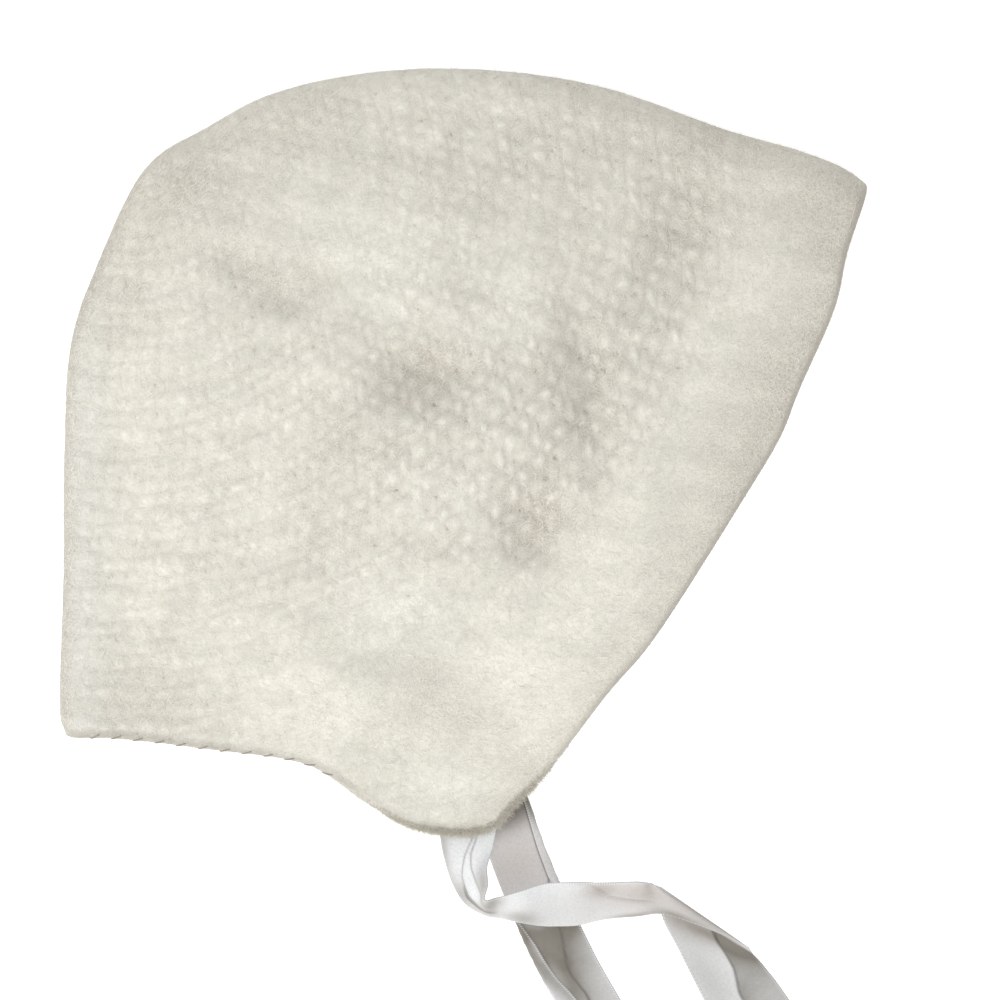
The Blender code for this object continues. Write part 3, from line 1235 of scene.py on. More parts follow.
    def build(self) -> bpy.types.Object:
        """Builds the whole wall and dresses it.

        Returns:
            The bonnet.
        """
        shell = self.shell
        thin = slice(None, None, self.thinning)
        upper, lower = shell.upper, shell.lower
        within = self.smooth_shell.points - self.smooth_shell.normals * self.form.wall
        count = len(shell.points)
        loop = self.open_loop(upper, lower)
        rim = self.rim_rows(loop)
        ring_numbers = [loop]
        for k in range(len(rim)):
            ring_numbers.append(count * 2 + k * len(loop) + np.arange(len(loop)))
        inner_upper, inner_lower = upper[thin, thin] + count, lower[thin, thin] + count
        faces = self.layer_faces(upper, True) + self.layer_faces(lower, False)
        faces += self.layer_faces(inner_upper, False) + self.layer_faces(inner_lower, True)
        for ring, following in zip(ring_numbers[:-1], ring_numbers[1:]):
            faces += ring_faces(ring, following)
        faces += self.zipped(ring_numbers[-1], self.open_loop(inner_upper, inner_lower))
        points = np.vstack([shell.points, within, *rim])
        measures = self.measures(points, loop)
        return self.trimmed(points, faces, measures)

    def layer_faces(self, index: np.ndarray, turned: bool) -> list[list[int]]:
        """Joins one layer's points, with a triangle in the corner where its two folds meet.

        Args:
            index: The points' numbers.
            turned: Whether the faces look the other way.

        Returns:
            The faces.
        """
        corner = [int(index[0, 1]), int(index[1, 1]), int(index[1, 0])]
        if not turned:
            corner.reverse()
        return [*quads(index, turned)[1:].tolist(), corner]

    def zipped(self, outer: np.ndarray, inner: np.ndarray) -> list[tuple[int, ...]]:
        """Joins the last row of the rim to the thinner rows of the inner face.

        Args:
            outer: The rim's numbers.
            inner: The inner face's numbers.

        Returns:
            The faces.
        """
        made = []
        for k, number in enumerate(inner):
            after = inner[(k + 1) % len(inner)]
            a, b, c, d = (int(outer[(k * self.thinning + step) % len(outer)]) for step in range(4))
            made += [(a, b, int(number)), (b, c, int(after), int(number)), (c, d, int(after))]
        return made

    def measures(self, points: np.ndarray, loop: np.ndarray) -> dict[str, np.ndarray]:
        """Works out what the finish reads.

        Args:
            points: All points: the outer face's, the inner face's and the rim's.
            loop: The outer face's numbers round the open edge.

        Returns:
            The values by name.
        """
        plan = points[:, :2]
        from_face = distance_to(self.plan[-1], self.plan)
        from_neck = distance_to(self.plan[:, -1], self.plan)
        from_fold = self.form.from_fold(self.plan)
        from_tip = np.linalg.norm(self.plan - self.form.plan_point(FLAP_TIP), axis=-1)
        # painted shade on the rim, the fold line, the face band and the turned back fold
        darkness = np.where(from_face < from_neck, self.face_rim, self.neck_rim)
        darkness = darkness * (1 - (1 - self.flap_rim) * bell(from_tip, self.flap_reach))
        near_rim = bell(np.minimum(from_face, from_neck), self.rim_shade) * self.rim_start
        fold = self.fold_rim * bell(from_fold, self.fold_shade)
        rim = self.spread(np.maximum(darkness * near_rim, fold))
        edge = self.spread(np.maximum(darkness, fold))[loop]
        from_nape = self.plan[..., 0] - self.form.plan_point(NAPE)[0]
        at_back = 1 - eased((from_nape - self.turned_from) / self.turned_fade)
        turned = self.turned_shade * at_back * bell(from_fold, self.turned_width)
        band = self.spread(self.band_shade * bell(from_face, self.band_width) + turned)
        knit = self.spread(self.strength)
        rounds = len(self.rim_turns)
        # painted shade, and painted light below 0; a cool painted shade along the back fold
        shade = np.clip(self.form.swelling(plan, SHADES), -1, 1) * self.painted_shade_depth
        cool = eased((self.form.plan_point(NAPE)[0] + self.cool_band - plan[:, 0]) / self.cool_band)
        return {
            "knit": np.concatenate([knit, knit, np.zeros(rounds * len(loop))]),
            "rim": np.concatenate([rim, rim, *(edge * tone for tone in self.rim_tones)]),
            "shade": shade + np.concatenate([band, band, np.tile(band[loop], rounds)]),
            "cool": cool,
        }

    def spread(self, values: np.ndarray) -> np.ndarray:
        """Gives both layers of the outer face the values of their plan points.

        Args:
            values: A value at each plan point.

        Returns:
            A value at each point of the outer face.
        """
        result = np.zeros(len(self.shell.points))
        result[self.shell.lower.ravel()] = values.ravel()
        result[self.shell.upper.ravel()] = values.ravel()
        return result

    def trimmed(
        self,
        points: np.ndarray,
        faces: list[tuple[int, ...]],
        measures: dict[str, np.ndarray],
    ) -> bpy.types.Object:
        """Leaves out the points that no face uses, and makes the object.

        Args:
            points: All points.
            faces: The faces.
            measures: Values at all points.

        Returns:
            The bonnet.
        """
        used = np.unique(np.concatenate([np.array(face) for face in faces]))
        number = np.zeros(len(points), int)
        number[used] = np.arange(len(used))
        kept = [tuple(number[list(face)].tolist()) for face in faces]
        kept_measures = {key: values[used] for key, values in measures.items()}
        bonnet = add_mesh("felt_shell", points[used], kept, self.finish.material(self.knit), kept_measures)
        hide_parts("felted_bonnet")
        return bonnet


class Lie(Enum):
    """Where hairs grow on the bonnet."""

    UPPER = "upper"
    FOLD = "fold"


class Nap(NamedTuple):
    """One growth of hairs that lie on the felt."""

    name: str
    lie: Lie
    count: int
    reach: float  # of the longest hair
    lift: float  # of the highest
    seed: int  # what sets its draw apart


@dataclass
class WoolFuzz:
    """Single curled hairs over the felt and along its open edge, as thin strips."""

    bonnet: FeltedBonnet
    naps: tuple[Nap, ...] = (
        Nap("wool_nap", Lie.UPPER, 24000, 3.2 * MM, 0.28 * MM, 11),
        Nap("wool_flyaway", Lie.UPPER, 14000, 4.6 * MM, 0.8 * MM, 12),
        Nap("wool_fold_nap", Lie.FOLD, 6000, 3.0 * MM, 0.5 * MM, 13),
    )
    nap_wool: LooseWool = LooseWool("loose_wool", (0.70, 0.685, 0.62))
    # darker than the nap wool: painted shade on the hairs that hang over the edge
    edge_wool: LooseWool = LooseWool("edge_wool", (0.50, 0.475, 0.405))
    hair_width: float = 0.075 * MM
    tip_width: float = 0.25  # of the root's
    knots: int = 5  # points along a hair
    shortest: float = 0.35  # of the longest hair
    bare_below: float = 1.2 * MM  # the fold grows none so close to the floor
    least_span: float = 0.3 * MM  # of a cell, when a hair is led across it
    least_lift: float = 0.03 * MM
    least_height: float = 0.1 * MM  # over the floor
    curl: float = 0.75  # radians from knot to knot, each its own
    bend: float = 0.35  # radians from knot to knot, the same along a hair
    arch: tuple[float, float] = (0.12, 0.85)  # the part of a half wave that a hair rises in
    edge_growth: tuple[float, float] = (0.35, 1.3)  # on the plain edge, and more at the flap
    edge_reach: tuple[float, float] = (0.45, 1.9)  # millimetres there, and more at the flap
    edge_count: int = 15000
    edge_seed: int = 14
    edge_turns: tuple[float, float] = (20, 150)  # degrees of the rim that grow hairs
    low_edge: float = 2 * MM  # height under which the edge lies close to the floor
    low_share: float = 0.15  # of the hairs that are left there
    rooted: float = 0.95  # of the rim's radius
    fan: float = 0.9  # how far the hairs lean to either side
    stray: float = 0.32  # how far a hair turns from knot to knot
    sag: float = 0.10  # how far it turns down from knot to knot
    flap_reach: float = 26 * MM  # of the longer hairs, from the tip of the ear flap

    def strips(
        self,
        paths: np.ndarray,
        normals: np.ndarray,
        widths: np.ndarray,
    ) -> tuple[np.ndarray, list[list[int]]]:
        """Turns paths into thin strips that taper to their tips.

        Args:
            paths: Points of each hair.
            normals: What each point's strip faces.
            widths: Width of each hair.

        Returns:
            Points and faces.
        """
        ways = unit(np.gradient(paths, axis=1))
        aside = unit(np.cross(normals, ways))
        taper = np.linspace(1.0, self.tip_width, self.knots)[None, :, None] * widths[:, None, None] / 2
        points = np.stack([paths - aside * taper, paths + aside * taper], axis=2)
        hairs = len(paths)
        index = np.arange(hairs * self.knots * 2).reshape(hairs, self.knots, 2)
        ring = [index[:, :-1, 0], index[:, 1:, 0], index[:, 1:, 1], index[:, :-1, 1]]
        return points.reshape(-1, 3), np.stack(ring, axis=-1).reshape(-1, 4).tolist()

    def lying(self, nap: Nap) -> bpy.types.Object:
        """Lays hairs over a layer of the bonnet.

        Args:
            nap: Their growth.

        Returns:
            The object.
        """
        chance = np.random.default_rng(nap.seed)
        count = nap.count
        shell = self.bonnet.shell
        layer = shell.upper if nap.lie is Lie.UPPER else shell.lower
        grid, facing = shell.points[layer], shell.normals[layer]
        down, beside = grid[1:, :-1] - grid[:-1, :-1], grid[:-1, 1:] - grid[:-1, :-1]
        sizes = np.linalg.norm(np.cross(down, beside), axis=-1)
        if nap.lie is Lie.FOLD:
            sizes[grid[:-1, :-1, 2] < self.bare_below] = 0.0
        cells = chance.choice(sizes.size, count, p=(sizes / sizes.sum()).ravel())
        rows, columns = np.unravel_index(cells, sizes.shape)
        start = np.stack([rows, columns], axis=-1) + chance.random((count, 2))
        spans = np.stack([
            np.linalg.norm(grid[rows + 1, columns] - grid[rows, columns], axis=-1),
            np.linalg.norm(grid[rows, columns + 1] - grid[rows, columns], axis=-1),
        ], axis=-1)
        spans = np.maximum(spans, self.least_span)
        lengths = nap.reach * (self.shortest + (1 - self.shortest) * chance.random(count))
        heading = chance.random(count) * TAU
        turns = chance.normal(0, self.curl, (count, self.knots - 1))
        turns = turns + chance.normal(0, self.bend, (count, 1))
        headings = heading[:, None] + np.cumsum(turns, axis=1)
        ways = np.stack([np.cos(headings), np.sin(headings)], axis=-1)
        steps = ways * (lengths / (self.knots - 1))[:, None, None] / spans[:, None, :]
        spots = np.concatenate([start[:, None], start[:, None] + np.cumsum(steps, axis=1)], axis=1)
        spots = np.clip(spots, 0, self.bonnet.form.rows - 1.001)
        under, normals = self.between(grid, spots), unit(self.between(facing, spots))
        arch = np.sin(np.linspace(*self.arch, self.knots) * math.pi)
        raised = self.least_lift + nap.lift * (arch[None] * chance.random((count, 1)) ** 2)
        paths = under + normals * raised[..., None]
        widths = self.hair_width * (0.5 + chance.random(count))
        points, faces = self.strips(paths, normals, widths)
        return add_mesh(nap.name, points, faces, self.nap_wool.material())

    def between(self, grid: np.ndarray, spots: np.ndarray) -> np.ndarray:
        """Reads a grid between its points.

        Args:
            grid: Values at whole rows and columns.
            spots: Places in rows and columns.

        Returns:
            The values there.
        """
        whole = np.floor(spots).astype(int)
        rest = spots - whole
        i, j = whole[..., 0], whole[..., 1]
        s, t = rest[..., 0, None], rest[..., 1, None]
        near = grid[i, j] * (1 - s) + grid[i + 1, j] * s
        far = grid[i, j + 1] * (1 - s) + grid[i + 1, j + 1] * s
        return near * (1 - t) + far * t

    def overhang(self) -> bpy.types.Object:
        """Lets hairs stand out from the open edge, longest and closest at the ear flap.

        Returns:
            The object.
        """
        chance = np.random.default_rng(self.edge_seed)
        count = self.edge_count
        bonnet = self.bonnet
        loop = bonnet.open_loop(bonnet.shell.upper, bonnet.shell.lower)
        base = bonnet.smooth_shell.points[loop]
        normals = bonnet.smooth_shell.normals[loop]
        out = unit(np.cross(normals, unit(np.roll(base, -2, axis=0) - np.roll(base, 2, axis=0))))
        from_tip = np.linalg.norm(base[:, :2] - bonnet.form.plan_point(FLAP_TIP), axis=-1)
        at_flap = eased(1.2 - from_tip / self.flap_reach)
        growth, more_growth = self.edge_growth
        growing = np.where(base[:, 2] > self.low_edge, 1.0, self.low_share)
        weights = (growth + more_growth * at_flap) * growing
        chosen = chance.choice(len(loop), count, p=weights / weights.sum())
        turn = np.radians(chance.uniform(*self.edge_turns, count))[:, None]
        wall = bonnet.form.wall / 2
        round_way = np.cos(turn) * normals[chosen] + np.sin(turn) * out[chosen]
        roots = base[chosen] - normals[chosen] * wall + round_way * wall * self.rooted
        ways = unit(np.roll(base, -1, axis=0) - np.roll(base, 1, axis=0))[chosen]
        roots = roots + ways * chance.uniform(-0.5, 0.5, (count, 1)) * MM
        slant = chance.normal(0, self.fan, (count, 1))
        heading = unit(round_way + ways * slant)
        share = self.shortest + (1 - self.shortest) * chance.random(count)
        plain_reach, more_reach = self.edge_reach
        reach = (plain_reach + more_reach * at_flap[chosen]) * MM * share
        path = [roots]
        for _ in range(self.knots - 1):
            heading = unit(heading + chance.normal(0, self.stray, (count, 3)) + np.array([0, 0, -self.sag]))
            path.append(path[-1] + heading * (reach / (self.knots - 1))[:, None])
        paths = np.stack(path, axis=1)
        paths[..., 2] = np.maximum(paths[..., 2], self.least_height)
        facing = np.broadcast_to(np.array([0.0, 0.0, 1.0]), paths.shape)
        widths = self.hair_width * (0.5 + chance.random(count))
        points, faces = self.strips(paths, facing, widths)
        return add_mesh("edge_fuzz", points, faces, self.edge_wool.material())

    def build(self) -> list[bpy.types.Object]:
        """Grows all the hairs.

        Returns:
            The pieces.
        """
        made = [*(self.lying(nap) for nap in self.naps), self.overhang()]
        return made


@dataclass
class NeckWhipping:
    """Low slanted stitches of darker yarn over the neck edge, the same on both layers."""

    bonnet: FeltedBonnet
    finish: EdgeYarn = field(default_factory=EdgeYarn)
    first: float = 6.8 * MM  # from the nape
    pitch: float = 4.75 * MM
    count: int = 12
    slant: float = 2.1 * MM
    turns: tuple[float, float] = (28, 84)  # degrees of the rim that the yarn goes round
    thick: float = 0.17 * MM
    proud: float = 0.55  # how much of its thickness lies out of the wool
    sides: int = 8
    steps: int = 12
    aside: tuple[float, float, float] = (0.3, 0.2, 1.0)  # never along the yarn

    def build(self) -> bpy.types.Object:
        """Sews the stitches.

        Returns:
            The piece.
        """
        points, faces = [], []
        form, shell = self.bonnet.form, self.bonnet.smooth_shell
        for layer in (shell.upper, shell.lower):
            edge = shell.points[layer[:, -1]]
            normals = shell.normals[layer[:, -1]]
            run = np.concatenate([[0.0], np.cumsum(np.linalg.norm(np.diff(edge[:, :2], axis=0), axis=1))])
            for k in range(self.count):
                place = self.first + k * self.pitch
                at = np.array([np.interp(place, run, column) for column in edge.T])
                up = unit(np.array([np.interp(place, run, column) for column in normals.T]))
                way = unit(edge[min(np.searchsorted(run, place) + 1, len(edge) - 1)] - at)
                out = unit(np.cross(way, up))
                out = out if out[1] < 0 else -out
                path = self.over_edge(at, up, way, out, form.wall / 2)
                self.tube(path, points, faces)
        piece = add_mesh("neck_whipping", np.array(points), faces, self.finish.material())
        return piece

    def over_edge(
        self,
        at: np.ndarray,
        up: np.ndarray,
        way: np.ndarray,
        out: np.ndarray,
        half: float,
    ) -> np.ndarray:
        """Leads one stitch round the rounded edge.

        Args:
            at: The edge's point.
            up: The wool's normal there.
            way: The edge's own direction.
            out: The direction out of the wool.
            half: Half of the wall.

        Returns:
            The yarn's path.
        """
        shares = np.linspace(0, 1, self.steps)[:, None]
        first, last = (math.radians(turn) for turn in self.turns)
        turn = first + shares * (last - first)
        proud = half + self.thick * self.proud
        round_rim = np.cos(turn) * up * proud + np.sin(turn) * out * proud
        return at - up * half + round_rim + way * (0.5 - shares) * self.slant

    def tube(self, path: np.ndarray, points: list[np.ndarray], faces: list[tuple[int, ...]]) -> None:
        """Adds a closed tube of yarn.

        Args:
            path: The yarn's path.
            points: Points so far, added to.
            faces: Faces so far, added to.
        """
        ways = unit(np.gradient(path, axis=0))
        side = unit(np.cross(ways, np.array(self.aside)))
        rise = np.cross(side, ways)
        start = len(points)
        taper = np.sin(np.linspace(0.12, 0.88, len(path)) * math.pi) ** 0.5 * self.thick
        for k, centre in enumerate(path):
            for turn in np.arange(self.sides) / self.sides * TAU:
                points.append(centre + taper[k] * (math.cos(turn) * side[k] + math.sin(turn) * rise[k]))
        rings = start + np.arange(len(path) * self.sides).reshape(len(path), self.sides)
        for ring, following in zip(rings[:-1], rings[1:]):
            faces.extend(ring_faces(ring, following))
        faces.append(tuple(rings[0][::-1].tolist()))
        faces.append(tuple(rings[-1].tolist()))


class Station(NamedTuple):
    """A line across a tie, from its outer edge to its inner edge."""

    along: float  # share of the reach, right of the tip of the ear flap
    up: float  # share of the reach, above the tip
    across: float  # degrees
    span: float  # share of the width
    tilt: float  # degrees, with the inner edge up
    lift: float  # of the lower edge, share of the way from the floor to the seat


UPPER_TIE = (
    Station(-0.069, 0.221, 2, 0.79, 0, 1.00),
    Station(-0.065, 0.112, 8, 0.80, 0, 1.00),
    Station(-0.062, 0.006, 15, 0.81, 0, 1.00),
    Station(-0.062, -0.103, 13, 0.69, 9, 0.67),
    Station(-0.053, -0.197, 28, 0.66, 34, 0.15),
    Station(-0.022, -0.281, 42, 0.74, 55, 0.02),
    Station(0.013, -0.332, 88, 0.74, 70, 0.04),
    Station(0.081, -0.339, 102, 0.74, 63, 0.30),
    Station(0.172, -0.335, 98, 0.81, 54, 0.38),
    Station(0.279, -0.325, 93, 0.84, 43, 0.39),
    Station(0.422, -0.318, 85, 0.83, 43, 0.35),
    Station(0.546, -0.303, 79, 0.89, 52, 0.22),
    Station(0.666, -0.295, 83, 0.90, 55, 0.17),
    Station(0.757, -0.298, 113, 0.75, 49, 0.26),
    Station(0.846, -0.327, 137, 0.96, 29, 0.43),
    Station(0.918, -0.357, 144, 1.27, 17, 0.54),
    Station(0.963, -0.380, 145, 1.49, 14, 0.33),
    Station(0.967, -0.396, 146, 1.56, 13, 0.09),
    Station(0.974, -0.434, 151, 1.50, 6, 0.00),
    Station(0.996, -0.488, 159, 1.37, 1, 0.00),
    Station(1.034, -0.552, 168, 1.21, 0, 0.00),
    Station(1.076, -0.627, 181, 1.08, 0, 0.00),
    Station(1.129, -0.717, 197, 1.02, 0, 0.00),
    Station(1.196, -0.823, 204, 1.02, 0, 0.00),
    Station(1.255, -0.927, 211, 1.01, 0, 0.00),
)
LOWER_TIE = (
    Station(0.024, 0.234, 21, 0.77, 0, 1.00),
    Station(0.077, 0.108, 21, 0.77, 0, 1.00),
    Station(0.116, -0.005, 19, 0.77, 0, 1.00),
    Station(0.148, -0.096, 17, 0.77, -5, 0.50),
    Station(0.181, -0.183, 16, 0.78, -3, 0.12),
    Station(0.218, -0.272, 15, 0.79, 0, 0.00),
    Station(0.259, -0.361, 14, 0.80, 0, 0.00),
    Station(0.309, -0.470, 14, 0.82, 0, 0.00),
    Station(0.379, -0.611, 15, 0.82, 0, 0.00),
    Station(0.461, -0.753, 14, 0.82, 0, 0.00),
    Station(0.557, -0.918, 14, 0.82, 0, 0.00),
)


class Crease(NamedTuple):
    """A line pressed along a tie, through places given as station numbers and shares across."""

    course: tuple[tuple[float, float], ...]
    # painted shade along the crease's line
    dark: float
    half_width: float = 0.30 * MM
    rise: float = 0.0  # of the cloth on both sides
    step: float = 0.0  # further rise past the line, towards the inner edge
    run: float = 0.5  # of the width, over which that step dies out
    shaded: float = 0.0  # how grey the cloth is on the line's outer side


class Tone(NamedTuple):
    """A soft patch of painted shade and painted warm light on a tie."""

    station: float
    across: float
    half_stations: float
    half_across: float
    shade: float
    warm: float


class FoldedStrip(NamedTuple):
    """An edge of a tie that lies folded over on its face."""

    inner: bool
    widths: tuple[tuple[float, float], ...]  # station numbers and metres
    clearance: float = 0.35 * MM


UPPER_CREASES = (
    Crease(
        course=((0.0, 0.58), (2.4, 0.58), (3.0, 0.44), (3.9, 0.31), (4.8, 0.28), (5.4, 0.35), (6.8, 0.34)),
        dark=0.55,
        rise=0.15 * MM,
        step=0.30 * MM,
    ),
    Crease(
        course=((0.0, 0.66), (2.4, 0.66), (3.0, 0.56), (3.6, 0.57), (4.2, 0.64), (5.2, 0.72), (6.8, 0.60)),
        dark=0.6,
        rise=0.12 * MM,
        step=0.25 * MM,
    ),
    Crease(
        course=((3.7, 0.33), (4.8, 0.27), (5.5, 0.34), (6.2, 0.34), (6.9, 0.30)),
        dark=1.0,
    ),
    Crease(
        course=((4.0, 0.28), (4.8, 0.20), (5.5, 0.26), (6.2, 0.28), (6.9, 0.26)),
        dark=1.0,
    ),
    Crease(
        course=((9.2, 1.05), (10.2, 0.97), (10.6, 0.83), (11.0, 0.62), (11.8, 0.48), (13.0, 0.40)),
        dark=0.22,
        half_width=0.80 * MM,
        rise=0.30 * MM,
    ),
    Crease(
        course=(
            (17.3, 0.45), (18.1, 0.41), (19.8, 0.41), (20.8, 0.42),
            (21.2, 0.45), (22.0, 0.53), (24.9, 0.56),
        ),
        dark=0.5,
        half_width=0.35 * MM,
        step=-0.75 * MM,
        run=0.22,
        shaded=0.48,
    ),
)
UPPER_TONES = (
    Tone(2.4, 0.00, 1.5, 0.11, 0.48, 0.10),
    Tone(3.0, 0.20, 1.4, 0.22, 0.10, 0.00),
    Tone(4.7, 0.10, 0.8, 0.22, 0.50, 0.25),
    Tone(5.8, 0.45, 0.5, 0.60, 0.45, 0.20),
    Tone(4.8, 0.86, 0.8, 0.20, 0.55, 0.00),
    Tone(6.4, 0.65, 0.45, 0.70, 0.55, 0.30),
    Tone(6.9, 0.85, 0.5, 0.40, 0.35, 0.20),
    Tone(7.8, 0.15, 0.9, 0.25, 0.50, 0.30),
    Tone(9.4, 0.40, 2.6, 0.80, 0.20, 0.00),
    Tone(10.6, 0.82, 0.5, 0.20, 0.24, 0.60),
    Tone(12.6, 0.65, 2.0, 0.60, 0.28, 0.90),
    Tone(11.9, 0.00, 0.7, 0.10, 0.65, 0.10),
    Tone(13.4, 0.04, 0.9, 0.20, 0.62, 0.20),
    Tone(15.2, 0.40, 1.3, 0.60, 0.52, 0.50),
    Tone(17.9, 0.30, 1.0, 0.90, 0.50, 0.25),
    Tone(18.5, 0.75, 0.9, 0.50, 0.40, 0.30),
    Tone(19.2, 0.15, 1.4, 0.34, 0.40, 0.20),
    Tone(21.5, 0.80, 2.6, 0.40, 0.38, 0.00),
    Tone(21.2, 0.10, 1.2, 0.30, 0.08, 0.00),
)
LOWER_CREASES = (
    Crease(
        course=((-0.9, 0.86), (1.5, 0.834), (3.0, 0.782), (4.6, 0.747), (5.6, 0.747)),
        dark=0.85,
    ),
    Crease(
        course=((5.4, 0.74), (6.9, 0.69), (7.4, 0.64), (7.8, 0.58), (8.2, 0.58), (8.8, 0.66), (10.9, 0.66)),
        dark=1.0,
        half_width=0.45 * MM,
        step=0.25 * MM,
        run=0.3,
    ),
)
LOWER_TONES = (
    Tone(1.2, 0.60, 0.9, 1.00, 0.72, 0.30),
    Tone(3.5, 0.40, 2.2, 0.90, 0.00, 0.75),
    Tone(6.5, 0.05, 0.5, 0.14, 0.85, 0.10),
    Tone(6.9, 0.50, 0.9, 0.25, 0.65, 0.10),
    Tone(7.2, 0.25, 0.9, 0.14, 0.80, 0.10),
    Tone(7.8, 0.50, 1.0, 0.16, 0.25, 0.10),
    Tone(6.7, 0.92, 0.7, 0.30, 0.72, 0.00),
    Tone(7.7, 0.78, 1.0, 0.30, 0.45, 0.10),
    Tone(8.7, 0.52, 1.0, 0.20, 0.45, 0.10),
    Tone(9.4, 0.80, 1.0, 0.40, 0.33, 0.10),
    Tone(8.2, 0.05, 1.6, 0.14, 0.62, 0.10),
    Tone(0.9, 0.50, 0.7, 1.00, 0.30, 0.30),
)
LOWER_STRIPS = (
    FoldedStrip(
        inner=True,
        widths=((0.0, 1.0 * MM), (1.5, 1.2 * MM), (3.0, 1.6 * MM), (4.6, 1.9 * MM), (5.4, 0.0), (10.0, 0.0)),
    ),
    FoldedStrip(
        inner=False,
        widths=(
            (0.0, 0.0), (5.6, 0.0), (6.5, 1.3 * MM), (7.1, 2.1 * MM), (7.7, 2.5 * MM),
            (8.2, 3.1 * MM), (8.6, 4.0 * MM), (9.0, 4.6 * MM), (10.0, 5.0 * MM),
        ),
    ),
)


